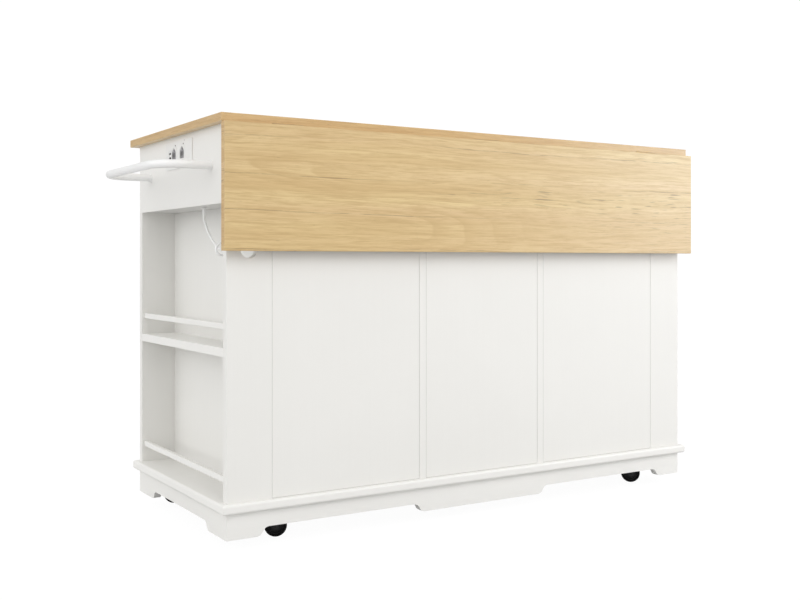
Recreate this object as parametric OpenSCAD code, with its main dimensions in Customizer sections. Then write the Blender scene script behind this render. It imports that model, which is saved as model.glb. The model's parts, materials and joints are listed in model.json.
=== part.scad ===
// Drop leaf kitchen island on casters, with an open bay at each end.
// Millimetres. Z = 0 is the floor, X = 0 and Y = 0 are the middle of the carcass.
// The drop leaf hangs on the +Y side, doors and drawers are on the -Y side,
// and the end with the sockets and the towel bar is +X.

/* [Worktop] */
// Height of the worktop above the floor
height = 900; // [860:5:940]
// Length of the worktop and of the leaf
top_l = 1340; // [1280:10:1440]
// Depth of the worktop without the leaf
top_w = 590; // [570:5:640]
// Thickness of the worktop
top_t = 18; // [16:1:24]
// Chamfer on the edges of the worktop and the leaf
edge_ch = 1; // [0.5:0.1:1.5]
// Overhang of the worktop past each end of the carcass
end_overhang = 17.5; // [10:0.5:25]
// Overhang of the worktop on the leaf side
back_overhang = 14; // [10:1:20]
// Overhang of the worktop on the door side
front_overhang = 22; // [16:1:34]

/* [Drop leaf] */
// Width of the leaf, which hangs down as its height
leaf_w = 262; // [220:2:300]
// Thickness of the leaf
leaf_t = 18; // [16:1:22]
// Half of the joint between the worktop and the leaf
leaf_gap = 0.5; // [0.4:0.1:0.8]
// Number of flap hinges
flap_hinges = 3; // [2:1:4]
// Distance of the outer flap hinges from the ends of the leaf
flap_hinge_inset = 150; // [100:5:200]
// Length of one flap hinge
flap_hinge_l = 70; // [60:2:90]
// Width of one hinge plate
flap_plate_w = 32; // [26:1:40]
// Thickness of one hinge plate
flap_plate_t = 2; // [1.6:0.1:2.4]

/* [Carcass] */
// Thickness of the carcass boards
board_t = 18; // [16:0.5:20]
// Width of the four corner stiles
stile_w = 102; // [96:1:115]
// Clear width of the middle compartment
middle_w = 328; // [300:2:360]
// Height of a drawer opening
drawer_open_h = 146; // [130:2:160]
// Depth of the cross rails and top rails
rail_w = 60; // [50:2:80]
// Chamfer that draws the lines between the back panels
line_ch = 1.2; // [0.8:0.1:1.6]
// Height of the open shelf above the base slab
bay_shelf_rise = 317; // [280:1:340]
// Height of the cupboard shelves above the base slab
cupboard_shelf_rise = 290; // [240:5:340]
// Depth of the cupboard shelves
cupboard_shelf_w = 380; // [300:10:440]
// Diameter of a shelf pin
pin_d = 5; // [4:0.5:6]
// Diameter of the cable hole in the rear stile
cable_hole_d = 38; // [30:1:44]
// Distance of the cable hole from the end of the carcass
cable_hole_in = 50; // [44:1:56]
// Height of the cable hole above the floor
cable_hole_z = 623; // [600:1:640]

/* [Gallery rails] */
// Height of a gallery rail
gallery_h = 13; // [10:1:18]
// Thickness of a gallery rail
gallery_t = 10; // [8:1:12]
// Height of a gallery rail above its shelf
gallery_lift = 37.5; // [30:0.5:60]
// Distance of a gallery rail from the face of the end
gallery_inset = 6; // [3:1:8]

/* [Base] */
// Thickness of the base slab
slab_t = 21; // [18:1:24]
// Overhang of the base slab past the carcass
slab_overhang = 13; // [8:1:20]
// Edge radius of the base slab
slab_r = 6; // [3:0.5:7]
// Height of the skirt boards
skirt_h = 55; // [52:1:61]
// Height of the skirt above the floor
skirt_z = 26; // [22:1:30]
// Rise of the arch in a skirt board
arch_h = 19; // [12:1:24]
// Width of the curve between a foot and the arch
ogee_w = 29; // [20:1:36]
// Length of a corner foot on the long skirts
foot_l = 67; // [55:1:90]
// Length of a corner foot on the end skirts
end_foot_l = 93; // [80:1:110]
// Length of the middle foot on the long skirts
middle_foot_l = 334; // [280:2:380]

/* [Doors and drawers] */
// Gap round a door or a drawer front
reveal = 2; // [1.5:0.5:3]
// Width of the frame round a front
frame_w = 52; // [40:1:60]
// Depth of the sunk field of a front
field_depth = 5; // [3:0.5:7]
// Thickness of the drawer sides
side_t = 15; // [14:0.5:17]
// Height of the drawer sides
side_h = 108; // [90:2:116]
// Length of the drawer box behind its front
drawer_l = 430; // [360:10:470]
// Thickness of the drawer bottom
bottom_t = 5; // [4:0.5:7]
// Height of the runner bars
runner_h = 16; // [12:1:20]
// Depth of the groove in the drawer sides
groove_depth = 8; // [6:0.5:9]
// Diameter of a knob
knob_d = 30; // [24:1:34]
// Length of a knob
knob_l = 26; // [20:1:32]
// Height of a door hinge
door_hinge_l = 64; // [50:2:80]
// Distance of a door hinge from the end of the door
door_hinge_inset = 60; // [40:5:90]
// Thickness of a door hinge plate
door_plate_t = 1.6; // [1.2:0.1:2]

/* [Towel bar] */
// Diameter of the bar
bar_d = 18; // [14:1:20]
// Distance between the two legs of the bar
bar_span = 388; // [300:2:440]
// Reach of the bar from the end of the island to its middle line
bar_reach = 115; // [90:1:130]
// Radius of the bends to the middle line of the bar
bar_bend = 60; // [40:1:80]
// Distance of the bar below the underside of the worktop
bar_drop = 82; // [78:1:90]
// Diameter of the flanges
flange_d = 21; // [21:1:28]
// Thickness of the flanges
flange_t = 3; // [2.5:0.5:5]

/* [Sockets] */
// Width of the socket plate
plate_w = 167; // [160:1:180]
// Height of the socket plate
plate_h = 62; // [58:1:66]
// Thickness of the socket plate
plate_t = 2.5; // [2:0.5:4]
// Distance of the plate below the underside of the worktop
plate_drop = 12; // [8:1:16]
// Distance of the middle of the plate from the middle of the end
plate_shift = 4; // [-10:1:10]
// Diameter of the raised ring round a socket
socket_d = 38; // [36:1:42]
// Width of a grey socket insert
insert_w = 25; // [22:1:27]
// Height of a grey socket insert
insert_h = 26; // [24:1:28]
// Distance between the two sockets
socket_pitch = 52; // [48:1:56]
// Distance of the sockets from the middle of the plate
socket_shift = -3; // [-6:1:6]
// Distance of the charging ports from the nearest socket
port_offset = 26.5; // [26:0.5:30]
// Depth of the case behind the plate
case_depth = 40; // [30:1:44]

/* [Casters] */
// Diameter of a wheel
wheel_d = 50; // [46:1:52]
// Width of a wheel
wheel_w = 20; // [16:1:22]
// Distance of the axle from the swivel axis
trail = 23; // [20:1:24]
// Diameter of an axle
axle_d = 6; // [5:0.5:8]
// Distance of the rear swivel axes from the ends of the carcass
rear_caster_in = 124; // [110:1:160]
// Distance of the front swivel axes from the ends of the carcass
front_caster_in = 84; // [80:1:130]
// Distance of the rear swivel axes from the rear side of the carcass
rear_side_in = 84; // [76:1:96]
// Distance of the front swivel axes from the front side of the carcass
front_side_in = 74; // [74:1:90]
// Thickness of a caster block
block_t = 15; // [13:1:16]
// Width of a caster block
block_w = 78; // [72:1:84]
// Width of a caster plate
caster_plate_w = 58; // [52:1:64]
// Thickness of a caster plate
caster_plate_t = 2.5; // [2:0.5:3]

/* [Lead] */
// Diameter of the lead
lead_d = 5; // [4.6:0.1:5.2]
// Length of the gland under the socket box
gland_l = 20; // [16:1:20]
// Outside diameter of the guide eye
eye_d = 30; // [26:1:32]
// Thickness of the ring of the guide eye
eye_t = 5; // [4:0.5:6]

/* [Hidden] */
$fn = 48;

// Clearances
seat = 0.3;          // between pieces that rest or slide on each other
running = 0.05;      // radial, round a pin in its bore
eps = 0.01;          // overlap of cutters with the faces that they open

// Colours
white = [0.92, 0.92, 0.90];
oak = [0.85, 0.72, 0.52];
steel = [0.72, 0.72, 0.74];
black = [0.05, 0.05, 0.05];
grey = [0.62, 0.62, 0.62];

// Levels, from the floor up
slab_z = skirt_z + skirt_h;
floor_z = slab_z + slab_t;
under_top = height - top_t;
box_z = under_top - board_t - drawer_open_h;
bay_shelf_z = floor_z + bay_shelf_rise;
block_z = slab_z - block_t;

// Outlines in plan
carcass_l = top_l - 2 * end_overhang;
carcass_w = top_w - back_overhang - front_overhang;
end_x = carcass_l / 2;
side_y = carcass_w / 2;
inner_y = side_y - board_t;
top_back_y = side_y + back_overhang;
top_front_y = -side_y - front_overhang;
stile_x = end_x - stile_w;
bay_x = stile_x + board_t;
face_x = end_x - board_t;
inner_x = middle_w / 2;
outer_x = inner_x + board_t;

// [centre, width] of the left, middle and right compartments, as seen from the doors
side_bay_w = stile_x - outer_x;
side_bay_c = (stile_x + outer_x) / 2;
bays = [[-side_bay_c, side_bay_w], [0, middle_w], [side_bay_c, side_bay_w]];

// Flap hinges
hinge_y = top_back_y;
hinge_z = under_top - leaf_gap;
flap_r = 3;
flap_pin_r = 1.5;
flap_knuckles = 5;
flap_relief_r = flap_r + 0.5;

// Door hinges
door_r = 3.2;
door_pin_r = 1.4;
door_knuckles = 3;
door_axis_y = -side_y - door_r - seat;
door_top = box_z - board_t - reveal;
door_bottom = floor_z + reveal;

// ---------------------------------------------------------------- shapes

// Outline of a w by h rectangle with its four corners cut by c
module cut_rect(w, h, c) {
    polygon([[c, 0], [w - c, 0], [w, c], [w, h - c],
        [w - c, h], [c, h], [0, h - c], [0, c]]);
}

// Outline of a w by h rectangle with round corners
module round_rect(w, h, r) {
    translate([r, 0]) square([w - 2 * r, h]);
    translate([0, r]) square([w, h - 2 * r]);
    for (x = [r, w - r], y = [r, h - r]) translate([x, y]) circle(r);
}

// Board with all its edges cut by c
module chamfered_board(size, c) {
    intersection() {
        linear_extrude(size.z) cut_rect(size.x, size.y, c);
        translate([0, size.y, 0]) rotate([90, 0, 0])
            linear_extrude(size.y) cut_rect(size.x, size.z, c);
        rotate([90, 0, 90]) linear_extrude(size.x) cut_rect(size.y, size.z, c);
    }
}

// Board whose top and bottom edges are rounded
module rounded_board(size, r) {
    intersection() {
        translate([0, size.y, 0]) rotate([90, 0, 0])
            linear_extrude(size.y) round_rect(size.x, size.z, r);
        rotate([90, 0, 90]) linear_extrude(size.x) round_rect(size.y, size.z, r);
    }
}

// A copy at +X and a mirrored copy at -X
module both_ends() {
    children();
    mirror([1, 0, 0]) children();
}

// Closed tube of n sides through the points p; ref is a direction the tube never runs along
function unit(v) = v / norm(v);
function heading(p, i) = unit(p[min(i + 1, len(p) - 1)] - p[max(i - 1, 0)]);
function ring(c, t, ref, r, n) =
    let (u = unit(cross(ref, t)), v = cross(t, u))
    [for (k = [0:n - 1]) c + r * (cos(360 * k / n) * u + sin(360 * k / n) * v)];
module tube(p, r, n, ref) {
    rings = len(p);
    points = [for (i = [0:rings - 1]) each ring(p[i], heading(p, i), ref, r, n)];
    sides = [for (i = [0:rings - 2], k = [0:n - 1], half = [0, 1])
        let (a = i * n + k, b = i * n + (k + 1) % n)
        half == 0 ? [a, a + n, b] : [b, a + n, b + n]];
    start = [for (k = [1:n - 2]) [0, k, k + 1]];
    end = [for (k = [1:n - 2]) let (o = (rings - 1) * n) [o, o + k + 1, o + k]];
    polyhedron(points, concat(sides, start, end));
}

// Points on a smooth curve through p, with k steps between each two
function curve_at(p, i, u) =
    let (a = p[max(i - 1, 0)], b = p[i], c = p[i + 1], d = p[min(i + 2, len(p) - 1)])
    0.5 * (2 * b + (c - a) * u + (2 * a - 5 * b + 4 * c - d) * u * u
        + (3 * b - a - 3 * c + d) * u * u * u);
function smooth(p, k) = concat(
    [for (i = [0:len(p) - 2], s = [0:k - 1]) curve_at(p, i, s / k)], [p[len(p) - 1]]);
function path_length(p) = len(p) < 2 ? 0
    : [for (i = 0, s = 0; i < len(p) - 1; s = s + norm(p[i + 1] - p[i]), i = i + 1) s
        + norm(p[i + 1] - p[i])][len(p) - 2];

// ---------------------------------------------------------------- hinges

// One half of a butt hinge whose axis is Z from 0 to length: its knuckles, and a plate
// that runs from the axis towards +X with its faces at y = lift and y = lift + t.
// The fixed half holds the pin, the moving half turns on it.
module hinge_half(fixed, length, knuckles, r, pin_r, plate_l, t, lift) {
    pitch = length / knuckles;
    first = fixed ? 0 : 1;
    difference() {
        union() {
            difference() {
                translate([seat, lift, 0]) cube([plate_l - seat, t, length]);
                for (k = [1 - first:2:knuckles - 1]) translate([0, 0, k * pitch - seat / 2])
                    cylinder(r = r + seat, h = pitch + seat);
            }
            for (k = [first:2:knuckles - 1]) translate([0, 0, k * pitch + seat / 2])
                cylinder(r = r, h = pitch - seat);
        }
        if (!fixed) translate([0, 0, -1]) cylinder(r = pin_r + running, h = length + 2);
    }
    if (fixed) translate([0, 0, seat / 2]) cylinder(r = pin_r, h = length - seat);
}

// The middle of each flap hinge along X
flap_xs = [for (i = [0:flap_hinges - 1])
    -(top_l / 2 - flap_hinge_inset)
        + i * (top_l - 2 * flap_hinge_inset) / (flap_hinges - 1)];

// Puts children, drawn about a Z axis with +X as the plate's direction, on the flap's axis
module at_flap_axis(x, hanging) {
    translate([x - flap_hinge_l / 2, hinge_y, hinge_z])
        rotate([0, 90, 0]) rotate(hanging ? 0 : -90)
        mirror([0, hanging ? 0 : 1, 0]) children();
}

// Room that a flap hinge takes out of a board: the barrel and the let-in plate
module flap_pocket() {
    translate([0, 0, -1]) cylinder(r = flap_relief_r, h = flap_hinge_l + 2);
    translate([-eps, leaf_gap - eps, -seat])
        cube([flap_plate_w + seat, flap_plate_t + eps, flap_hinge_l + 2 * seat]);
}

module flap_hinge_plates() color(steel) for (x = flap_xs) at_flap_axis(x, false)
    hinge_half(true, flap_hinge_l, flap_knuckles, flap_r, flap_pin_r,
        flap_plate_w, flap_plate_t, leaf_gap);

module flap_hinge_leaves() color(steel) for (x = flap_xs) at_flap_axis(x, true)
    hinge_half(false, flap_hinge_l, flap_knuckles, flap_r, flap_pin_r,
        flap_plate_w, flap_plate_t, leaf_gap);

// ---------------------------------------------------------------- worktop and leaf

module worktop() color(oak) difference() {
    translate([-top_l / 2, top_front_y, under_top])
        chamfered_board([top_l, top_w, top_t], edge_ch);
    for (x = flap_xs) at_flap_axis(x, false) flap_pocket();
}

module drop_leaf() color(oak) difference() {
    translate([-top_l / 2, hinge_y + leaf_gap, hinge_z - leaf_gap - leaf_w])
        chamfered_board([top_l, leaf_t, leaf_w], edge_ch);
    for (x = flap_xs) at_flap_axis(x, true) flap_pocket();
}

// ---------------------------------------------------------------- carcass

// Board of the back, with the two outer upright edges cut to draw a line
module back_panel(x0, x1) translate([0, 0, floor_z]) linear_extrude(under_top - floor_z)
    polygon([[x0, inner_y], [x1, inner_y], [x1, side_y - line_ch], [x1 - line_ch, side_y],
        [x0 + line_ch, side_y], [x0, side_y - line_ch]]);

module back_panels() color(white) {
    back_panel(-inner_x, inner_x);
    both_ends() back_panel(outer_x, stile_x);
}

// Corner stile: full height, with its upper end stepped back behind the end box
module corner_stile() {
    w = stile_w;
    up = box_z - floor_z;
    translate([stile_x, side_y, floor_z]) rotate([90, 0, 0]) linear_extrude(board_t)
        polygon([[0, 0], [w, 0], [w, up], [w - board_t, up],
            [w - board_t, under_top - floor_z], [0, under_top - floor_z]]);
}

module corner_stiles() color(white) {
    difference() {
        corner_stile();
        translate([end_x - cable_hole_in, inner_y - 1, cable_hole_z]) rotate([-90, 0, 0])
            cylinder(d = cable_hole_d, h = board_t + 2);
    }
    mirror([0, 1, 0]) corner_stile();
    mirror([1, 0, 0]) corner_stile();
    mirror([1, 0, 0]) mirror([0, 1, 0]) corner_stile();
}

module bay_dividers() color(white) difference() {
    both_ends() translate([stile_x, -inner_y, floor_z])
        cube([board_t, 2 * inner_y, under_top - floor_z]);
    pin_bores();
}

module inner_dividers() color(white) difference() {
    both_ends() translate([inner_x, -side_y, floor_z])
        cube([board_t, carcass_w, under_top - floor_z]);
    pin_bores();
}

// Rails across each compartment: top front, top rear and under the drawer
module carcass_rails() color(white) for (b = bays) translate([b[0] - b[1] / 2, 0, 0]) {
    translate([0, -side_y, under_top - board_t]) cube([b[1], rail_w, board_t]);
    translate([0, inner_y - rail_w, under_top - board_t]) cube([b[1], rail_w, board_t]);
    translate([0, -side_y, box_z - board_t]) cube([b[1], rail_w, board_t]);
}

// Places of the sockets and ports along Y, and the case behind them
socket_ys = [for (i = [1, -1]) plate_shift + socket_shift + i * socket_pitch / 2];
port_y = socket_ys[1] - port_offset;
plate_z = under_top - plate_drop - plate_h / 2;
case_rim = 8;
case_w = plate_w - 2 * case_rim;
case_h = plate_h - 2 * case_rim;

// Gland in the floor of the box, where the lead leaves it
gland_x = face_x - 17.5;
gland_y = inner_y - 196;
gland_r = 6;

module end_box() {
    translate([face_x, -side_y, box_z]) cube([board_t, carcass_w, under_top - box_z]);
    translate([bay_x, -inner_y, box_z]) cube([face_x - bay_x, 2 * inner_y, board_t]);
}

module end_boxes() color(white) {
    difference() {
        end_box();
        translate([face_x - 1, plate_shift - case_w / 2 - seat, plate_z - case_h / 2 - seat])
            cube([board_t + 2, case_w + 2 * seat, case_h + 2 * seat]);
        translate([gland_x, gland_y, box_z - 1])
            cylinder(r = gland_r + seat, h = board_t + 2);
    }
    mirror([1, 0, 0]) end_box();
}

module bay_shelves() color(white) both_ends()
    translate([bay_x, -inner_y, bay_shelf_z - board_t])
        cube([end_x - bay_x, 2 * inner_y, board_t]);

// Two rails with softened edges in each bay
module gallery_rails() color(white) both_ends() for (z = [bay_shelf_z, floor_z])
    translate([end_x - gallery_inset - gallery_t, inner_y, z + gallery_lift])
        rotate([90, 0, 0]) linear_extrude(2 * inner_y) round_rect(gallery_t, gallery_h, 2);

shelf_side = 1;
shelf_back = 1;
module cupboard_shelves() color(white) for (b = bays)
    translate([b[0] - b[1] / 2 + shelf_side, inner_y - shelf_back - cupboard_shelf_w,
        floor_z + cupboard_shelf_rise])
        cube([b[1] - 2 * shelf_side, cupboard_shelf_w, board_t]);

// Four pins under each cupboard shelf, let into the boards at its sides
pin_in = 7.5;
pin_out = 9;
pin_back = 40;
module at_shelf_pins() for (b = bays, side = [-1, 1], back = [0, 1])
    translate([b[0] + side * b[1] / 2,
        inner_y - shelf_back - pin_back - back * (cupboard_shelf_w - 2 * pin_back),
        floor_z + cupboard_shelf_rise - seat - pin_d / 2])
        rotate([0, -90 * side, 0]) children();

module shelf_pins() color(steel) at_shelf_pins()
    translate([0, 0, -pin_in]) cylinder(d = pin_d, h = pin_in + pin_out);

module pin_bores() at_shelf_pins() translate([0, 0, -pin_in - seat])
    cylinder(r = pin_d / 2 + running, h = pin_in + seat + 1);

// ---------------------------------------------------------------- base

module base_slab() color(white)
    translate([-end_x - slab_overhang, -side_y - slab_overhang, slab_z])
        rounded_board([carcass_l + 2 * slab_overhang, carcass_w + 2 * slab_overhang, slab_t],
            slab_r);

// Two equal arcs from [x, 0] to [x + way * ogee_w, arch_h], level at both ends
ogee_a = 2 * atan(arch_h / ogee_w);
ogee_r = ogee_w / (2 * sin(ogee_a));
ogee_steps = 6;
function ogee_up(x, way) = concat(
    [for (i = [0:ogee_steps]) let (a = ogee_a * i / ogee_steps)
        [x + way * ogee_r * sin(a), ogee_r * (1 - cos(a))]],
    [for (i = [1:ogee_steps]) let (a = ogee_a * (1 - i / ogee_steps))
        [x + way * (ogee_w - ogee_r * sin(a)), arch_h - ogee_r * (1 - cos(a))]]);
function backwards(p) = [for (i = [len(p) - 1:-1:0]) p[i]];

// Outline of a skirt board of length l with its middle at x = 0
function skirt_outline(l, foot, middle) = concat(
    [[-l / 2, skirt_h], [-l / 2, 0]],
    ogee_up(-l / 2 + foot, 1),
    middle > 0 ? concat(backwards(ogee_up(-middle / 2, -1)), ogee_up(middle / 2, 1)) : [],
    backwards(ogee_up(l / 2 - foot, -1)),
    [[l / 2, 0], [l / 2, skirt_h]]);

module long_skirt() translate([0, side_y, skirt_z]) rotate([90, 0, 0])
    linear_extrude(board_t) polygon(skirt_outline(carcass_l, foot_l, middle_foot_l));

module skirt_rear() color(white) long_skirt();

module skirt_front() color(white) mirror([0, 1, 0]) long_skirt();

module skirt_ends() color(white) both_ends()
    translate([face_x, 0, skirt_z]) rotate([90, 0, 90])
        linear_extrude(board_t)
            polygon(skirt_outline(2 * inner_y, end_foot_l - board_t, 0));

// ---------------------------------------------------------------- towel bar

bar_z = under_top - bar_drop;

// Half of the bar, from its leg at +Y to the middle of its straight run
module half_bar() {
    translate([end_x, bar_span / 2, bar_z]) rotate([0, 90, 0])
        cylinder(d = bar_d, h = bar_reach - bar_bend);
    translate([end_x + bar_reach - bar_bend, bar_span / 2 - bar_bend, bar_z])
        rotate_extrude(angle = 90) translate([bar_bend, 0]) circle(d = bar_d);
    translate([end_x + bar_reach, 0, bar_z]) rotate([-90, 0, 0])
        cylinder(d = bar_d, h = bar_span / 2 - bar_bend);
    translate([end_x, bar_span / 2, bar_z]) rotate([0, 90, 0])
        cylinder(d = flange_d, h = flange_t);
}

module towel_bar() color(white) {
    half_bar();
    mirror([0, 1, 0]) half_bar();
}

// ---------------------------------------------------------------- sockets

// Children drawn in the plane of the end, their own Z pointing out of it
module seen_from_end(y) translate([end_x, y, plate_z]) rotate([90, 0, 90]) children();

// Grey insert with a gabled top, grown by m on all sides
gable_h = 8;
gable_w = 6;
insert_z = 3.5;
module gabled(m) translate([0, insert_z]) polygon([
    [-insert_w / 2 - m, -insert_h / 2 - m], [insert_w / 2 + m, -insert_h / 2 - m],
    [insert_w / 2 + m, insert_h / 2 - gable_h], [gable_w / 2 + m, insert_h / 2 + m],
    [-gable_w / 2 - m, insert_h / 2 + m], [-insert_w / 2 - m, insert_h / 2 - gable_h]]);

// Outline of the block that holds the two charging ports, grown by m on all sides
port_w = 14;
port_h = 24;
port_z = 1.5;
module port_outline(m) translate([-port_w / 2 - m, port_z - port_h / 2 - m])
    square([port_w + 2 * m, port_h + 2 * m]);

socket_rise = 0.6;
module socket_plate() color(white) difference() {
    union() {
        seen_from_end(plate_shift) translate([-plate_w / 2, -plate_h / 2])
            linear_extrude(plate_t) round_rect(plate_w, plate_h, 4);
        for (y = socket_ys) seen_from_end(y) translate([0, insert_z, plate_t - 1])
            cylinder(d = socket_d, h = 1 + socket_rise);
    }
    for (y = socket_ys) seen_from_end(y) translate([0, 0, -1])
        linear_extrude(plate_t + 3) gabled(seat);
    seen_from_end(port_y) translate([0, 0, -1]) linear_extrude(plate_t + 3) port_outline(seat);
}

// Insert with two blade slots and a round earth hole above them
insert_sunk = 0.5;
insert_l = plate_t + 10;
insert_front = plate_t - insert_sunk;
slot_gap = 12.7;
slot_w = 2.2;
slot_h = 8;
slot_z = 1;
earth_d = 5;
earth_z = 11;
slot_depth = 8;
module socket_insert() difference() {
    translate([0, 0, insert_front - insert_l]) linear_extrude(insert_l) gabled(0);
    for (x = [-slot_gap / 2, slot_gap / 2])
        translate([x - slot_w / 2, slot_z - slot_h / 2, insert_front - slot_depth])
            cube([slot_w, slot_h, slot_depth + 1]);
    translate([0, earth_z, insert_front - slot_depth]) cylinder(d = earth_d, h = slot_depth + 1);
}

// Block with two charging ports, each with its tongue
usb_w = 12;
usb_h = 4.5;
usb_pitch = 10;
tongue_t = 1.8;
module port_block() {
    difference() {
        translate([0, 0, insert_front - insert_l]) linear_extrude(insert_l) port_outline(0);
        for (z = [-usb_pitch / 2, usb_pitch / 2])
            translate([-usb_w / 2, port_z + z - usb_h / 2, insert_front - slot_depth])
                cube([usb_w, usb_h, slot_depth + 1]);
    }
    for (z = [-usb_pitch / 2, usb_pitch / 2])
        translate([-usb_w / 2, port_z + z + usb_h / 2 - tongue_t, insert_front - slot_depth])
            cube([usb_w, tongue_t, slot_depth - 1]);
}

module socket_inserts() color(grey) {
    for (y = socket_ys) seen_from_end(y) socket_insert();
    seen_from_end(port_y) port_block();
}

// Case let into the end box, holding the inserts and the block of ports from behind
module socket_case() color(white) difference() {
    seen_from_end(plate_shift) translate([-case_w / 2, -case_h / 2, -case_depth])
        cube([case_w, case_h, case_depth - seat]);
    for (y = socket_ys) seen_from_end(y) translate([0, 0, insert_front - insert_l - seat])
        linear_extrude(insert_l) gabled(seat);
    seen_from_end(port_y) translate([0, 0, insert_front - insert_l - seat])
        linear_extrude(insert_l) port_outline(seat);
}

// ---------------------------------------------------------------- fronts

// Framed front of width w and height h, its middle at x, its foot at z
module framed_front(x, w, z, h) difference() {
    translate([x - w / 2, -side_y, z]) chamfered_board([w, board_t, h], 0.8);
    translate([x - w / 2 + frame_w, -side_y - 1, z + frame_w * 0.8])
        cube([w - 2 * frame_w, field_depth + 1, h - 1.6 * frame_w]);
}

// Turned knob, its foot's middle at [x, y, z] and its head towards -Y
knob_foot_d = 18;
knob_foot_t = 2;
knob_neck_d = 10;
knob_head_t = 8;
knob_flare_t = 6;
dome_r = 32;
module knob(x, y, z) color(steel) translate([x, y, z]) rotate([90, 0, 0]) {
    cylinder(d = knob_foot_d, h = knob_foot_t);
    cylinder(d = knob_neck_d, h = knob_l - knob_head_t - knob_flare_t);
    translate([0, 0, knob_l - knob_head_t - knob_flare_t])
        cylinder(d1 = knob_neck_d, d2 = knob_d, h = knob_flare_t);
    rotate_extrude() intersection() {
        translate([0, knob_l - knob_head_t]) square([knob_d / 2, knob_head_t]);
        translate([0, knob_l - dome_r]) circle(dome_r);
    }
}

front_z = box_z + reveal;
front_h = drawer_open_h - 2 * reveal;
box_gap = 2;
groove_stop = 20;
runner_reach = box_gap + groove_depth - seat;
box_rise = 8;             // the box's foot above the front's
bottom_rise = 8;          // the bottom board above the foot of the box
box_z0 = front_z + box_rise;
runner_z = box_z0 + side_h / 2;

module drawer_front(b) color(white)
    framed_front(b[0], b[1] - 2 * reveal, front_z, front_h);

// Sides, back and bottom of a drawer: a groove in each side rides on a runner bar
module drawer_box(b) color(oak) {
    w = b[1] - 2 * box_gap;
    y0 = -side_y + board_t;
    for (side = [-1, 1]) difference() {
        translate([b[0] + (side > 0 ? w / 2 - side_t : -w / 2), y0, box_z0])
            cube([side_t, drawer_l, side_h]);
        translate([b[0] + (side > 0 ? w / 2 - groove_depth : -w / 2 - 1), y0 + groove_stop,
            runner_z - runner_h / 2 - seat])
            cube([groove_depth + 1, drawer_l, runner_h + 2 * seat]);
    }
    translate([b[0] - w / 2 + side_t, y0 + drawer_l - side_t, box_z0])
        cube([w - 2 * side_t, side_t, side_h]);
    translate([b[0] - w / 2 + side_t, y0, box_z0 + bottom_rise])
        cube([w - 2 * side_t, drawer_l - side_t, bottom_t]);
}

module drawer_knob(b) knob(b[0], -side_y + field_depth, front_z + front_h / 2);

module drawer_runners() color(steel) for (b = bays, side = [-1, 1])
    translate([b[0] + (side > 0 ? b[1] / 2 - runner_reach : -b[1] / 2),
        -side_y + board_t + groove_stop + seat, runner_z - runner_h / 2])
        cube([runner_reach, drawer_l - groove_stop - side_t, runner_h]);

// The doors are drawn at +X, hinged at their outer sides, and mirrored to -X
module door_side(way) {
    if (way > 0) children();
    else mirror([1, 0, 0]) children();
}
door_w = side_bay_w - 2 * reveal;
door_h = door_top - door_bottom;
door_axis_x = stile_x - reveal / 2;
door_hinge_zs = [door_bottom + door_hinge_inset, door_top - door_hinge_inset - door_hinge_l];
door_knob_drop = 90;

module door_panel() color(white)
    framed_front(side_bay_c, door_w, door_bottom, door_h);

module door_knob() knob(outer_x + reveal + frame_w / 2, -side_y,
    door_top - door_knob_drop);

// Surface hinge: the fixed plate lies on the stile, the moving plate on the door
door_plate_l = 15;
door_lift = -side_y - door_axis_y - door_plate_t;
module door_hinge(fixed) color(steel) for (z = door_hinge_zs)
    translate([door_axis_x, door_axis_y, z]) mirror([fixed ? 0 : 1, 0, 0])
        hinge_half(fixed, door_hinge_l, door_knuckles, door_r, door_pin_r,
            door_plate_l, door_plate_t, door_lift);

module door_hinge_plates() both_ends() door_hinge(true);

// ---------------------------------------------------------------- casters

axle_z = wheel_d / 2;
swivel_z = block_z - caster_plate_t;
race_h = 6;
crown_t = 3;
crown_z = swivel_z - race_h - crown_t;
crown_r = 18;
leg_t = 2.5;
leg_gap = 1.2;
leg_y = wheel_w / 2 + leg_gap;
king_r = 4;

// Each caster: [x, y, angle of its trailing side]
rear_x = end_x - rear_caster_in;
front_x = end_x - front_caster_in;
rear_y = side_y - rear_side_in;
front_y = front_side_in - side_y;
casters = [[rear_x, rear_y, 155], [-rear_x, rear_y, 145],
    [front_x, front_y, -42], [-front_x, front_y, 180]];

module at_caster(c) translate([c[0], c[1], 0]) rotate(c[2]) children();

module caster_blocks() color(white) for (c = casters)
    translate([c[0] - block_w / 2, c[1] - block_w / 2, block_z])
        cube([block_w, block_w, block_t]);

// Plate with four screw holes, a pressed race and the king pin
module caster_plates() color(black) for (c = casters) translate([c[0], c[1], 0]) {
    difference() {
        translate([-caster_plate_w / 2, -caster_plate_w / 2, swivel_z])
            linear_extrude(caster_plate_t) round_rect(caster_plate_w, caster_plate_w, 6);
        for (x = [-1, 1], y = [-1, 1]) translate([x * (caster_plate_w / 2 - 7),
            y * (caster_plate_w / 2 - 7), swivel_z - 1])
            cylinder(d = 5, h = caster_plate_t + 2);
    }
    translate([0, 0, swivel_z - race_h + seat]) rotate_extrude() polygon([[king_r, 0],
        [crown_r - 2, 0], [crown_r, 2], [crown_r, race_h - seat], [0, race_h - seat],
        [0, 0]]);
    translate([0, 0, crown_z - 3]) cylinder(r = king_r, h = race_h + crown_t + 3);
    translate([0, 0, crown_z - 3.5]) cylinder(r = king_r + 2.5, h = 3.2);
}

// The brake's cross pin, seen from the swivel axis, and its ears on the fork
brake_x = 37.5;
brake_rise = 27.4;
brake_z = axle_z + brake_rise;
brake_pin_d = 4;
ear_r = 4.5;

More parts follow.
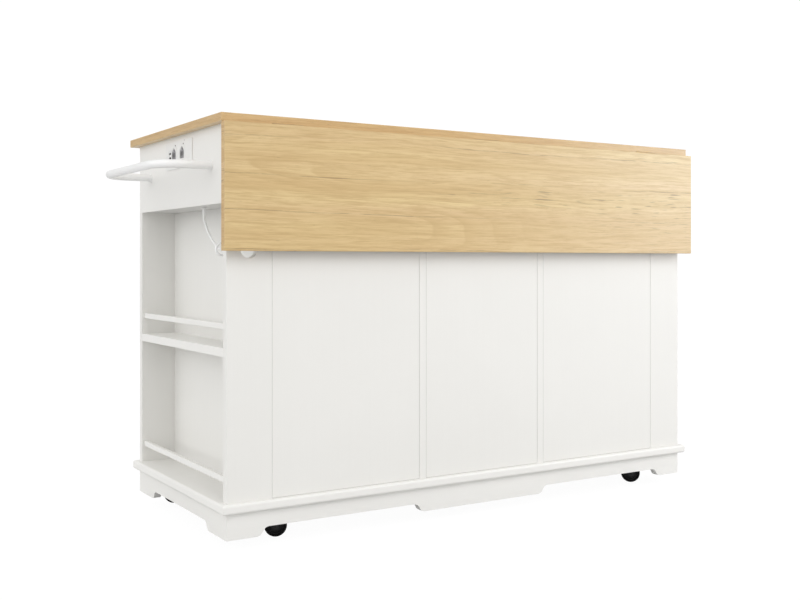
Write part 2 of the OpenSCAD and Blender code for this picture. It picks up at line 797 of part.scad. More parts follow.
// Side view of a fork leg about the axle: a boss, rising to the edge of the crown
leg_boss_r = 8;
leg_top = crown_z - axle_z;
leg_back = -trail - crown_r + 4;
leg_front = -trail + crown_r + 4;
module leg_outline(brake) {
    circle(leg_boss_r);
    polygon([[-leg_boss_r * 0.8, -leg_boss_r * 0.6], [leg_boss_r, 0],
        [leg_front, leg_top], [leg_back, leg_top]]);
    if (brake) {
        translate([brake_x - trail, brake_z - axle_z]) circle(ear_r);
        polygon([[leg_boss_r, 0], [brake_x - trail + ear_r, brake_z - axle_z],
            [brake_x - trail, brake_z - axle_z + ear_r], [leg_front, leg_top]]);
    }
}

// Crown turning on the king pin, two legs, and the axle riveted through them
rivet = 1.5;
module caster_fork(c, brake) color(black) at_caster(c) {
    difference() {
        union() {
            translate([0, 0, crown_z]) cylinder(r = crown_r, h = crown_t);
            translate([0, -leg_y - leg_t, crown_z])
                cube([crown_r + 4, 2 * (leg_y + leg_t), crown_t]);
        }
        translate([0, 0, crown_z - 1]) cylinder(r = king_r + running, h = crown_t + 2);
    }
    for (s = [-1, 1]) translate([trail, s > 0 ? leg_y + leg_t : -leg_y, axle_z])
        rotate([90, 0, 0]) linear_extrude(leg_t) leg_outline(brake);
    translate([trail, leg_y + leg_t + rivet, axle_z]) rotate([90, 0, 0])
        cylinder(d = axle_d, h = 2 * (leg_y + leg_t + rivet));
    if (brake) translate([brake_x, leg_y + leg_t + rivet, brake_z]) rotate([90, 0, 0])
        cylinder(d = brake_pin_d, h = 2 * (leg_y + leg_t + rivet));
}

// Wheel with a crowned tread, sunk sides and a hub, turning on the axle
module caster_wheel(c) color(black) at_caster(c) translate([trail, 0, axle_z])
    rotate([90, 0, 0]) rotate_extrude() polygon(concat(
        [[axle_d / 2 + running, -wheel_w / 2], [8, -wheel_w / 2], [10, -wheel_w / 2 + 3],
        [wheel_d / 2 - 7, -wheel_w / 2 + 3], [wheel_d / 2 - 5, -wheel_w / 2]],
        [for (a = [-75:15:75]) [wheel_d / 2 - 3 + 3 * cos(a), (wheel_w / 2 - 1) * sin(a)
            / sin(75)]],
        [[wheel_d / 2 - 5, wheel_w / 2], [wheel_d / 2 - 7, wheel_w / 2 - 3],
        [10, wheel_w / 2 - 3], [8, wheel_w / 2], [axle_d / 2 + running, wheel_w / 2]]));

// Brake pedal: a barrel on the cross pin, a lever outwards and a shoe over the tread
pedal_r = 4;
pedal_tip = 52;
pedal_t = 3;
pedal_fall = 5;
shoe_a = [39, 49];
module pedal_outline() difference() {
    union() {
        translate([brake_x, brake_z]) circle(pedal_r);
        polygon([[brake_x, brake_z + pedal_r], [pedal_tip, brake_z + pedal_r - pedal_fall],
            [pedal_tip, brake_z + pedal_r - pedal_fall - pedal_t], [brake_x, brake_z - 2]]);
        polygon([for (a = shoe_a) [trail, axle_z] + (wheel_d / 2 + 2) * [cos(a), sin(a)],
            [brake_x, brake_z - 1], [brake_x + 7, brake_z - 1]]);
    }
    translate([brake_x, brake_z]) circle(brake_pin_d / 2 + running);
}
module caster_pedal(c) color(black) at_caster(c) translate([0, wheel_w / 2, 0])
    rotate([90, 0, 0]) linear_extrude(wheel_w) pedal_outline();

// ---------------------------------------------------------------- lead

lead_r = lead_d / 2;
coil_c = [face_x - 32.5, inner_y - 33.5];    // middle of the coil on the bay shelf
coil_in_r = 20.6;            // inner turn
coil_pitch = lead_d + 0.6;   // from turn to turn across a layer
coil_rise = lead_d + 0.5;    // from layer to layer
coil_layers = 4;
coil_turns = 6 + 1 / 3;
coil_rings = 24;             // rings in one turn
tie_t = 0.9;
coil_z = bay_shelf_z + 2 * seat + tie_t + lead_r;

// Height within the coil: level along a layer, climbing in the half turn where it reverses
layer_turns = coil_turns / coil_layers;
function climb(t) = let (k = t / layer_turns, n = round(k), d = (k - n) * layer_turns)
    n < 1 || n > coil_layers - 1 ? min(max(floor(k), 0), coil_layers - 1)
        : n - 1 + min(max(d / 0.5 + 0.5, 0), 1);
function coil_radius(t) = let (k = t / layer_turns, n = floor(k), u = k - n)
    coil_in_r + coil_pitch * layer_turns * (n % 2 == 0 ? 1 - u : u);
function coil_point(t) = let (a = 180 - 360 * t, r = coil_radius(t))
    [coil_c.x + r * cos(a), coil_c.y + r * sin(a), coil_z + coil_rise * climb(t)];
coil_last = coil_turns * coil_rings;
coil_turn_points = [for (i = [0:coil_last]) coil_point(i / coil_rings)];
coil_start = coil_turn_points[0];
coil_end = coil_turn_points[coil_last];
start_way = [0, -1, 0];
end_way = [sin(180 - 360 * coil_turns), -cos(180 - 360 * coil_turns), 0];
coil_path = concat([coil_start + lead_d * start_way], coil_turn_points,
    [coil_end + lead_d * end_way]);

// Least gap between turns of the coil, measured on its rings
coil_gap = min([for (i = [0:len(coil_path) - 1], j = [i + 12:len(coil_path) - 1])
    norm(coil_path[i] - coil_path[j])]) - lead_d;

// Route of the free stretches. Down from the gland and through the eye, measured from the
// end box's foot, then behind the rear stile to the coil, measured from the shelf
eye_way = [3.5, -42, -95];
drop_head = [[-17.5, -196, -gland_l], [-17.5, -195, -28], [-17.5, -188, -36],
    [-17.5, -175, -52], [-17.5, -154, -69], [-15.5, -129, -81], [-7.5, -94, -89],
    [-0.5, -64, -93], eye_way, [4.5, -29, -99], [3.5, -20, -109], [2.5, -17, -122]];
drop_foot = [[-2.5, -19, 45], [-4, -17.5, 32], [-7.5, -14, 23]];
drop_share = [[1.5, -17, 0.8], [0, -18, 0.5], [-2, -19, 0.2]];
hang_top = box_z + drop_head[len(drop_head) - 1].z;
hang_foot = bay_shelf_z + drop_foot[0].z;
drop_route = concat([for (p = drop_head) [face_x, inner_y, box_z] + p],
    [for (p = drop_share) [face_x + p.x, inner_y + p.y,
        hang_foot + (hang_top - hang_foot) * p.z]],
    [for (p = drop_foot) [face_x, inner_y, bay_shelf_z] + p]);
drop_path = concat(smooth(drop_route, 2),
    [for (k = [1.4, 1]) coil_end + k * lead_d * end_way]);

// From the coil to the plug, measured from the coil's middle
tail_route = [for (p = [[-28, -13.5, 1], [-24, -23.5, 4], [-20.5, -32.5, 6]])
    [coil_c.x, coil_c.y, coil_z] + p];
plug_p = [coil_c.x - 20, coil_c.y - 41.5, coil_z + 6];
tail_path = concat([for (k = [1, 1.4]) coil_start + k * lead_d * start_way],
    smooth(tail_route, 2), [plug_p + [0, lead_d, 0], plug_p]);
lead_sides = 8;
coil_sides = 6;

echo(coil_gap = coil_gap, lead_length = path_length(drop_path) + path_length(coil_path)
    + path_length(tail_path));

module lead_drop() color(white) tube(drop_path, lead_r, lead_sides, [1, 0, 0.3]);

module lead_coil() color(white) tube(coil_path, lead_r, coil_sides, [0, 0, 1]);

module lead_tail() color(white) tube(tail_path, lead_r, lead_sides, [0, 0, 1]);

// Band round the coil at one place
tie_w = 8;
tie_gap = 0.4;
tie_l = coil_pitch * layer_turns + lead_d + 2 * (tie_gap + tie_t);
tie_h = (coil_layers - 1) * coil_rise + lead_d + 2 * (seat + tie_t);
module lead_tie() color(black)
    translate([coil_c.x, coil_c.y, bay_shelf_z + seat]) rotate(-60)
        translate([coil_in_r - lead_r - tie_gap - tie_t, tie_w / 2, 0]) rotate([90, 0, 0])
            linear_extrude(tie_w) difference() {
                square([tie_l, tie_h]);
                translate([tie_t, tie_t]) square([tie_l - 2 * tie_t, tie_h - 2 * tie_t]);
            }

// Plug: a boot, a body with softened edges, two blades and an earth pin
boot_l = 16;
body_l = 32;
body_w = 24;
body_h = 19;
blade_l = 16;
blade_w = 6.4;
blade_t = 1.5;
module lead_plug() color(white) translate(plug_p) rotate([90, 0, 0]) {
    cylinder(r1 = lead_r + 1, r2 = 6, h = boot_l);
    translate([-body_w / 2, -body_h / 2, boot_l]) linear_extrude(body_l)
        round_rect(body_w, body_h, 5);
    for (x = [-slot_gap / 2, slot_gap / 2]) translate([x - blade_t / 2, -6, boot_l + body_l])
        cube([blade_t, blade_w, blade_l]);
    translate([0, 5, boot_l + body_l]) cylinder(d = 4.8, h = blade_l + 2);
}

// Gland in the floor of the end box, tapering down round the lead
module lead_gland() color(white) translate([gland_x, gland_y, 0]) {
    translate([0, 0, box_z]) cylinder(r = gland_r, h = board_t);
    translate([0, 0, box_z - 3]) cylinder(r = gland_r + 1.5, h = 3 - seat);
    translate([0, 0, box_z - 3]) cylinder(r = gland_r, h = 4);
    translate([0, 0, box_z - gland_l]) cylinder(r1 = lead_r + 0.5, r2 = gland_r - 1.8,
        h = gland_l - 3);
}

// Guide eye: a ring that the lead runs through, on a stem from the rear stile
eye_c = [face_x, inner_y, box_z] + eye_way;
module lead_eye() color(white) {
    translate(eye_c) rotate([90, 0, 0]) rotate_extrude()
        translate([(eye_d - eye_t) / 2, 0]) circle(d = eye_t);
    translate([eye_c.x, eye_c.y, eye_c.z + (eye_d - eye_t) / 2]) rotate([-90, 0, 0])
        cylinder(d = eye_t - 1, h = inner_y - eye_c.y);
    translate([eye_c.x, inner_y - 3, eye_c.z + (eye_d - eye_t) / 2]) rotate([-90, 0, 0])
        cylinder(d = 16, h = 3);
}

// ---------------------------------------------------------------- the pieces

worktop();
back_panels();
corner_stiles();
bay_dividers();
inner_dividers();
carcass_rails();
end_boxes();
bay_shelves();
gallery_rails();
base_slab();
skirt_rear();
skirt_front();
skirt_ends();
caster_blocks();
cupboard_shelves();
shelf_pins();
drawer_runners();
door_hinge_plates();
flap_hinge_plates();
drop_leaf();
flap_hinge_leaves();
socket_plate();
socket_inserts();
socket_case();
towel_bar();
drawer_front(bays[0]);  // drawer_left_front
drawer_box(bays[0]);  // drawer_left_box
drawer_knob(bays[0]);  // drawer_left_knob
drawer_front(bays[1]);  // drawer_middle_front
drawer_box(bays[1]);  // drawer_middle_box
drawer_knob(bays[1]);  // drawer_middle_knob
drawer_front(bays[2]);  // drawer_right_front
drawer_box(bays[2]);  // drawer_right_box
drawer_knob(bays[2]);  // drawer_right_knob
door_side(-1) door_panel();  // door_left_panel
door_side(-1) door_hinge(false);  // door_left_hinges
door_side(-1) door_knob();  // door_left_knob
door_side(1) door_panel();  // door_right_panel
door_side(1) door_hinge(false);  // door_right_hinges
door_side(1) door_knob();  // door_right_knob
caster_plates();
caster_fork(casters[0], false);  // caster_rear_a_fork
caster_wheel(casters[0]);  // caster_rear_a_wheel
caster_fork(casters[1], false);  // caster_rear_b_fork
caster_wheel(casters[1]);  // caster_rear_b_wheel
caster_fork(casters[2], true);  // caster_front_a_fork
caster_wheel(casters[2]);  // caster_front_a_wheel
caster_pedal(casters[2]);  // caster_front_a_pedal
caster_fork(casters[3], true);  // caster_front_b_fork
caster_wheel(casters[3]);  // caster_front_b_wheel
caster_pedal(casters[3]);  // caster_front_b_pedal
lead_gland();
lead_eye();
lead_drop();
lead_coil();
lead_tail();
lead_plug();
lead_tie();
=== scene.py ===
"""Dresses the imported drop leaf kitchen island: finishes, lead, fittings, floor, light and camera."""

import json
import logging
import math
from dataclasses import dataclass, field, replace
from enum import Enum
from typing import Callable

import bmesh
import bpy
from mathutils import Matrix, Vector

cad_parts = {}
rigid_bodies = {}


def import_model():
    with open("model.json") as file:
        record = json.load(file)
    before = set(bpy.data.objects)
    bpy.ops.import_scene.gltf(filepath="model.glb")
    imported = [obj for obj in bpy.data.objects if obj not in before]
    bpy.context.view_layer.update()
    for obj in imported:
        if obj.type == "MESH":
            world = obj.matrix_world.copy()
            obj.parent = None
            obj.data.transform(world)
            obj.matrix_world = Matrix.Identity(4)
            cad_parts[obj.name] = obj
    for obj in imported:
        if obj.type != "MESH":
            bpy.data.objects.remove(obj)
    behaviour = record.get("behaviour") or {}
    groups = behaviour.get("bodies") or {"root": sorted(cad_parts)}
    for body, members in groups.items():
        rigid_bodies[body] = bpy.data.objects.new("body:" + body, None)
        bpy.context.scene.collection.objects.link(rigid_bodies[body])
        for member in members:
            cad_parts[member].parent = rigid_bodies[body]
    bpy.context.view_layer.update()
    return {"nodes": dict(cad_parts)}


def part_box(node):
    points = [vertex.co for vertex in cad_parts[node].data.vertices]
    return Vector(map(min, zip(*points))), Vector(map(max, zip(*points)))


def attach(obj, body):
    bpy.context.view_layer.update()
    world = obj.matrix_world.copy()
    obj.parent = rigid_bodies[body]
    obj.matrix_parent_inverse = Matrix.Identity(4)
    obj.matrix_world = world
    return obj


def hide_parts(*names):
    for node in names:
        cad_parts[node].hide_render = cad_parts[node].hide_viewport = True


LOG = logging.getLogger("island")
MM = 0.001
Point = tuple[float, float, float]
Ramp = tuple[float, float, float, float]
Outline = tuple[tuple[float, float], ...]
Piece = bpy.types.Object
Wire = bpy.types.NodeSocket

NO_TINT: Point = (1.0, 1.0, 1.0)
BLEND_RANGE = (0.35, 0.65)  # where a noise runs from a finish's first colour to its second
SWING_RANGE = (0.3, 0.7)  # where a noise runs from the smoothest to the roughest spot
LINE_NOISE = (1.0, 3.0, 0.6)  # scale, detail and roughness of the noise behind pressed grain and brushing
TURNED = 40.0  # a turned piece is shaded smooth up to this angle, in degrees
WELD = 1e-6  # points closer than this are merged, in metres
ALONG = 0.9  # least share of a direction that counts as along an axis
SMALL_TURN, LARGE_TURN = 24, 64  # steps round a small and a large turned piece


def mm(x: float, y: float, z: float) -> Vector:
    """A point that is given in millimetres, in metres."""
    return Vector((x, y, z)) * MM


class Axis(Enum):
    """A direction of the row frame."""

    X = (1.0, 0.0, 0.0)
    Y = (0.0, 1.0, 0.0)
    Z = (0.0, 0.0, 1.0)
    MINUS_Y = (0.0, -1.0, 0.0)
    MINUS_Z = (0.0, 0.0, -1.0)

    @property
    def vector(self) -> Vector:
        """The direction as a unit vector."""
        return Vector(self.value)

    def turn(self) -> tuple[float, float, float]:
        """The Euler angles that turn +Z onto this direction."""
        return tuple(self.vector.to_track_quat("Z", "Y").to_euler())


# ---------------------------------------------------------------- shader toolkit


class NodeGraph:
    """A node tree with short ways to add nodes and wires."""

    def __init__(self, tree: bpy.types.NodeTree) -> None:
        """Takes the tree that the nodes go into.

        Args:
            tree: a material's or a group's node tree.
        """
        self.tree = tree

    def add(self, kind: str, **values: object) -> bpy.types.Node:
        """Adds a node.

        Args:
            kind: the node's class, without the ShaderNode prefix.
            values: properties of the node, or inputs where the name ends with "_in".

        Returns:
            The new node.
        """
        node = self.tree.nodes.new("ShaderNode" + kind)
        for name, value in values.items():
            if name.endswith("_in"):
                node.inputs[name[:-3].replace("_", " ")].default_value = value
            else:
                setattr(node, name, value)
        return node

    def wire(self, source: object, target: Wire) -> None:
        """Joins an output to an input, or sets the input where the source is a plain value.

        Args:
            source: a socket, a number or a colour.
            target: the input.
        """
        if isinstance(source, Wire):
            self.tree.links.new(source, target)
        else:
            target.default_value = source

    def math(self, operation: str, a: object, b: object = 0.0) -> Wire:
        """A Math node on two values.

        Args:
            operation: the node's operation.
            a: first value, a socket or a number.
            b: second value, a socket or a number.

        Returns:
            The result's socket.
        """
        node = self.add("Math", operation=operation)
        self.wire(a, node.inputs[0])
        self.wire(b, node.inputs[1])
        return node.outputs[0]

    def span(self, value: Wire, lo: float, hi: float, a: float = 0.0, b: float = 1.0) -> Wire:
        """Maps a value from lo..hi to a..b, clamped.

        Args:
            value: what is mapped.
            lo: value that gives a.
            hi: value that gives b.
            a: result at lo.
            b: result at hi.

        Returns:
            The result's socket.
        """
        node = self.add("MapRange", clamp=True, From_Min_in=lo, From_Max_in=hi, To_Min_in=a, To_Max_in=b)
        self.wire(value, node.inputs["Value"])
        return node.outputs["Result"]

    def noise(self, vector: Wire, scale: object, detail: float, rough: float = 0.5) -> Wire:
        """A noise texture's value.

        Args:
            vector: where it is read.
            scale: how fine it is, a socket or a number.
            detail: number of octaves.
            rough: strength of the fine octaves.

        Returns:
            The value's socket.
        """
        node = self.add("TexNoise", Detail_in=detail, Roughness_in=rough)
        self.wire(vector, node.inputs["Vector"])
        self.wire(scale, node.inputs["Scale"])
        return node.outputs["Fac"]

    def stretched(self, vector: Wire, scale: Point) -> Wire:
        """A vector multiplied by one number along each axis.

        Args:
            vector: what is stretched.
            scale: the three factors.

        Returns:
            The result's socket.
        """
        node = self.add("VectorMath", operation="MULTIPLY")
        self.wire(vector, node.inputs[0])
        self.wire(scale, node.inputs[1])
        return node.outputs["Vector"]

    def split(self, vector: Wire) -> tuple[Wire, ...]:
        """Takes a vector apart.

        Args:
            vector: the vector.

        Returns:
            Its three numbers.
        """
        node = self.add("SeparateXYZ")
        self.wire(vector, node.inputs[0])
        return tuple(node.outputs)

    def joined(self, *numbers: object) -> Wire:
        """Puts a vector together.

        Args:
            numbers: up to three numbers, each a socket or a plain value.

        Returns:
            The vector.
        """
        node = self.add("CombineXYZ")
        for number, target in zip(numbers, node.inputs):
            self.wire(number, target)
        return node.outputs[0]

    def facing(self) -> tuple[Wire, ...]:
        """The three numbers of the surface's normal, along the piece's own axes."""
        return self.split(self.add("TexCoord").outputs["Normal"])

    def mix(self, factor: object, a: object, b: object, blend: str = "MIX") -> Wire:
        """Mixes two colours.

        Args:
            factor: how much of b, a socket or a number.
            a: first colour, a socket or RGB.
            b: second colour, a socket or RGB.
            blend: the blend type.

        Returns:
            The colour's socket.
        """
        node = self.add("Mix", data_type="RGBA", blend_type=blend)
        for name, value in (("Factor", factor), ("A", a), ("B", b)):
            full = (*value, 1.0) if isinstance(value, tuple) else value
            self.wire(full, self.live(node.inputs, name))
        return self.live(node.outputs, "Result")

    @staticmethod
    def live(sockets: bpy.types.NodeInputs, name: str) -> Wire:
        """The socket of a name that the node's settings leave in use."""
        return next(s for s in sockets if s.name == name and s.enabled)


@dataclass(frozen=True)
class Streaks:
    """Noise that is drawn out along the grain.

    Attributes:
        along: how finely it changes along the grain.
        across: how finely it changes across the grain.
        detail: number of octaves.
        rough: strength of the fine octaves.
    """

    along: float
    across: float
    detail: float = 2.0
    rough: float = 0.5

    def read(self, graph: NodeGraph, at: Wire) -> Wire:
        """The noise's value at a vector whose X runs along the grain."""
        return graph.noise(graph.stretched(at, (self.along, self.across, self.across)), 1.0, self.detail, self.rough)


@dataclass(frozen=True)
class Socket:
    """One named input or output of a shader group."""

    name: str
    kind: str = "NodeSocketFloat"
    value: float | None = None


class ShaderGroup:
    """A shader node group that is built once and placed in each material that uses it."""

    name: str = ""
    inputs: tuple[Socket, ...] = ()
    outputs: tuple[Socket, ...] = ()

    @classmethod
    def tree(cls) -> bpy.types.NodeTree:
        """Finds the group's tree, or builds it at its first use.

        Returns:
            The tree.
        """
        if cls.name in bpy.data.node_groups:
            return bpy.data.node_groups[cls.name]
        tree = bpy.data.node_groups.new(cls.name, "ShaderNodeTree")
        for way, sockets in (("INPUT", cls.inputs), ("OUTPUT", cls.outputs)):
            for s in sockets:
                made = tree.interface.new_socket(name=s.name, in_out=way, socket_type=s.kind)
                if s.value is not None:
                    made.default_value = s.value
        source = tree.nodes.new("NodeGroupInput").outputs
        target = tree.nodes.new("NodeGroupOutput").inputs
        cls.fill(NodeGraph(tree), source, target)
        return tree

    @classmethod
    def fill(cls, graph: NodeGraph, source: bpy.types.NodeOutputs, target: bpy.types.NodeInputs) -> None:
        """Wires the group.

        Args:
            graph: the group's graph.
            source: the sockets that hold its inputs.
            target: the sockets that take its outputs.
        """
        raise NotImplementedError

    @classmethod
    def place(cls, graph: NodeGraph, vector: Wire, **values: float) -> bpy.types.NodeOutputs:
        """Puts the group into a material.

        Args:
            graph: the material's graph.
            vector: where the pattern is read.
            values: the group's inputs, with _ for a space.

        Returns:
            The group's outputs.
        """
        node = graph.tree.nodes.new("ShaderNodeGroup")
        node.node_tree = cls.tree()
        graph.wire(vector, node.inputs["Vector"])
        for name, value in values.items():
            node.inputs[name.replace("_", " ")].default_value = value
        return node.outputs


class WoodFigure(ShaderGroup):
    """Wood whose grain runs along X: straight bands, arched growth lines, fibres, pores and a few dark checks.

    A ramp holds the two values that are mapped, and then their two results.
    """

    name = "wood_figure"
    inputs = (
        Socket("Vector", "NodeSocketVector"),
        Socket("Arch Lines", value=24.0),
        Socket("Pore Share", value=0.5),
    )
    outputs = (Socket("Figure"), Socket("Fibres"), Socket("Bands"), Socket("Hue"), Socket("Pores"), Socket("Checks"))

    wave, wave_ramp = Streaks(1.7, 7.0), (0.0, 1.0, -0.011, 0.011)
    ripple, ripple_ramp = Streaks(11.0, 45.0), (0.0, 1.0, -0.0016, 0.0016)
    drift = Streaks(0.75, 5.5, 1.0, 0.3)
    line_rise: Ramp = (0.35, 0.93, 0.0, 1.0)
    line_fall: Ramp = (0.93, 1.0, 1.0, 0.0)
    arches, arches_ramp = Streaks(1.3, 5.0, 1.0), (0.42, 0.6, 0.25, 1.0)
    fine, coarse, fine_share = Streaks(18.0, 340.0, 3.0, 0.7), Streaks(6.0, 150.0, 4.0, 0.75), 0.4
    bands = Streaks(0.55, 30.0, 4.0, 0.6)
    hue = Streaks(0.5, 17.0)
    dashes, dense = Streaks(46.0, 640.0), Streaks(3.5, 14.0)
    pore_limit, pore_reach, pore_edge = 0.77, 0.26, 0.06
    cracks, cracks_ramp = Streaks(16.0, 230.0, 1.0), (0.62, 0.72, 0.0, 1.0)
    rare, rare_ramp = Streaks(0.4, 15.0, 0.0), (0.55, 0.64, 0.0, 1.0)
    threads_per_metre = 12.8
    thread_ramp: Ramp = (0.006, 0.016, 1.0, 0.0)
    thread_breaks: Ramp = (0.42, 0.52, 0.15, 1.0)
    patches, patches_ramp = Streaks(2.2, 6.0, 1.0), (0.42, 0.54, 0.0, 0.85)

    @classmethod
    def bend(cls, graph: NodeGraph, at: Wire) -> Wire:
        """Where the grain is read, moved sideways by a slow wave and a ripple.

        Args:
            graph: the group's graph.
            at: the vector that comes into the group.

        Returns:
            The moved vector.
        """
        wave = graph.span(cls.wave.read(graph, at), *cls.wave_ramp)
        ripple = graph.span(cls.ripple.read(graph, at), *cls.ripple_ramp)
        bent = graph.add("VectorMath", operation="ADD")
        graph.wire(at, bent.inputs[0])
        graph.wire(graph.joined(0.0, graph.math("ADD", wave, ripple)), bent.inputs[1])
        return bent.outputs["Vector"]

    @classmethod
    def threads(cls, graph: NodeGraph, at: Wire, bent: Wire, fine: Wire) -> Wire:
        """Long dark threads, in nearly straight rows along the grain.

        Args:
            graph: the group's graph.
            at: the vector that comes into the group.
            bent: the same, moved with the grain.
            fine: the fine fibres, which break the threads up.

        Returns:
            The threads' mask.
        """
        rows = graph.math("MULTIPLY", graph.split(bent)[1], cls.threads_per_metre)
        off = graph.math("ABSOLUTE", graph.math("SUBTRACT", graph.math("FRACT", graph.math("ADD", rows, 0.5)), 0.5))
        patch = graph.span(cls.patches.read(graph, at), *cls.patches_ramp)
        broken = graph.math("MULTIPLY", graph.span(fine, *cls.thread_breaks), patch)
        return graph.math("MULTIPLY", graph.span(off, *cls.thread_ramp), broken)

    @classmethod
    def fill(cls, graph: NodeGraph, source: bpy.types.NodeOutputs, target: bpy.types.NodeInputs) -> None:
        """Wires figure, fibres, bands, hue, pores and checks.

        Args:
            graph: the group's graph.
            source: the sockets that hold its inputs.
            target: the sockets that take its outputs.
        """
        at = source["Vector"]
        bent = cls.bend(graph, at)
        saw = graph.math("FRACT", graph.math("MULTIPLY", cls.drift.read(graph, bent), source["Arch Lines"]))
        line = graph.math("MULTIPLY", graph.span(saw, *cls.line_rise), graph.span(saw, *cls.line_fall))
        fine = cls.fine.read(graph, bent)
        fibres = graph.math(
            "ADD", graph.math("MULTIPLY", fine, cls.fine_share),
            graph.math("MULTIPLY", cls.coarse.read(graph, bent), 1.0 - cls.fine_share),
        )
        dense = graph.math("MULTIPLY", cls.dense.read(graph, at), cls.pore_reach)
        crowd = graph.math("MULTIPLY", dense, source["Pore Share"])
        depth = graph.math("SUBTRACT", cls.dashes.read(graph, bent), graph.math("SUBTRACT", cls.pore_limit, crowd))
        cracks = graph.math(
            "MULTIPLY", graph.span(cls.cracks.read(graph, bent), *cls.cracks_ramp),
            graph.span(cls.rare.read(graph, bent), *cls.rare_ramp),
        )
        for name, value in (
            ("Figure", graph.math("MULTIPLY", line, graph.span(cls.arches.read(graph, at), *cls.arches_ramp))),
            ("Fibres", fibres),
            ("Bands", cls.bands.read(graph, bent)),
            ("Hue", cls.hue.read(graph, bent)),
            ("Pores", graph.span(depth, 0.0, cls.pore_edge)),
            ("Checks", graph.math("MAXIMUM", cracks, cls.threads(graph, at, bent, fine))),
        ):
            graph.wire(value, target[name])


class SkinNoise(ShaderGroup):
    """Uneven skin of a painted, coated or moulded surface: broad mottle, fine peel and dust.

    A noise holds its detail and roughness, after its scale where that is fixed.
    """

    name = "skin_noise"
    inputs = (
        Socket("Vector", "NodeSocketVector"),
        Socket("Peel Scale", value=900.0),
        Socket("Mottle Scale", value=7.0),
    )
    outputs = (Socket("Mottle"), Socket("Peel"), Socket("Dust"))

    mottle_noise = (4.0, 0.55)
    peel_noise = (2.0, 0.5)
    speck_noise = (210.0, 3.0, 0.7)
    speck_range = (0.62, 0.8)

    @classmethod
    def fill(cls, graph: NodeGraph, source: bpy.types.NodeOutputs, target: bpy.types.NodeInputs) -> None:
        """Wires mottle, peel and dust.

        Args:
            graph: the group's graph.
            source: the sockets that hold its inputs.
            target: the sockets that take its outputs.
        """
        at = source["Vector"]
        graph.wire(graph.noise(at, source["Mottle Scale"], *cls.mottle_noise), target["Mottle"])
        graph.wire(graph.noise(at, source["Peel Scale"], *cls.peel_noise), target["Peel"])
        graph.wire(graph.span(graph.noise(at, *cls.speck_noise), *cls.speck_range), target["Dust"])


# ---------------------------------------------------------------- finishes


@dataclass(frozen=True)
class Finish:
    """What every finish has: a name, its colours and its gloss.

    Attributes:
        name: the material's name.
        color: main colour, linear RGB.
        shade: second colour of the pattern, linear RGB.
        rough: middle roughness.
        rough_swing: how far the roughness swings about its middle.
        metallic: metal share.
        bump: strength of the bump.
        relief: depth of the bump in metres.
        coat: weight of the clear coat.
        coat_rough: roughness of the clear coat.
        specular: specular level.
        sheen: weight of the sheen.
        gleam: tint of the reflections, linear RGB.
    """

    name: str
    color: Point = (0.8, 0.8, 0.8)
    shade: Point = (0.75, 0.75, 0.75)
    rough: float = 0.45
    rough_swing: float = 0.08
    metallic: float = 0.0
    bump: float = 0.15
    relief: float = 0.0002
    coat: float = 0.0
    coat_rough: float = 0.25
    specular: float = 0.5
    sheen: float = 0.0
    gleam: Point = NO_TINT

    def material(self) -> bpy.types.Material:
        """Finds the finish's Blender material, or makes it at its first use.

        Returns:
            The material.
        """
        made = bpy.data.materials.get(self.name)
        if made is None:
            made = bpy.data.materials.new(self.name)
            made.use_nodes = True
            graph = NodeGraph(made.node_tree)
            shader = made.node_tree.nodes["Principled BSDF"]
            for name, value in (
                ("Metallic", self.metallic), ("Coat Weight", self.coat), ("Coat Roughness", self.coat_rough),
                ("Specular IOR Level", self.specular), ("Sheen Weight", self.sheen),
                ("Specular Tint", (*self.gleam, 1.0)),
            ):
                shader.inputs[name].default_value = value
            self.pattern(graph, shader, graph.add("TexCoord").outputs["Object"])
        return made

    def pattern(self, graph: NodeGraph, shader: bpy.types.Node, at: Wire) -> None:
        """Wires colour, roughness and bump.

        Args:
            graph: the material's graph.
            shader: its Principled BSDF.
            at: object coordinates.
        """
        raise NotImplementedError

    def feed(self, graph: NodeGraph, shader: bpy.types.Node, color: Wire, uneven: Wire, height: Wire) -> None:
        """Feeds the shader.

        Args:
            graph: the material's graph.
            shader: its Principled BSDF.
            color: the colour.
            uneven: the noise that swings the roughness about its middle.
            height: the height that the bump raises, from 0 to 1.
        """
        low, high = self.rough - self.rough_swing, self.rough + self.rough_swing
        bump = graph.add("Bump", Strength_in=self.bump, Distance_in=self.relief)
        graph.wire(height, bump.inputs["Height"])
        graph.wire(color, shader.inputs["Base Color"])
        graph.wire(graph.span(uneven, *SWING_RANGE, low, high), shader.inputs["Roughness"])
        graph.wire(bump.outputs["Normal"], shader.inputs["Normal"])


@dataclass(frozen=True)
class Coated(Finish):
    """Paint, powder coat or moulded plastic.

    Attributes:
        peel: scale of the fine peel.
        mottle: scale of the broad mottle.
        dust: how far dust lightens or dulls the skin.
        dust_color: colour of the dust, linear RGB.
    """

    peel: float = 900.0
    mottle: float = 7.0
    dust: float = 0.04
    dust_color: Point = (0.5, 0.48, 0.45)

    def pattern(self, graph: NodeGraph, shader: bpy.types.Node, at: Wire) -> None:
        """Wires the skin.

        Args:
            graph: the material's graph.
            shader: its Principled BSDF.
            at: object coordinates.
        """
        skin = SkinNoise.place(graph, at, Peel_Scale=self.peel, Mottle_Scale=self.mottle)
        color = graph.mix(graph.span(skin["Mottle"], *BLEND_RANGE), self.color, self.shade)
        color = graph.mix(graph.math("MULTIPLY", skin["Dust"], self.dust), color, self.dust_color)
        self.feed(graph, shader, self.parts(graph, at, color), skin["Mottle"], skin["Peel"])

    def parts(self, graph: NodeGraph, at: Wire, color: Wire) -> Wire:
        """The colour with what differs from place to place: here nothing does."""
        return color


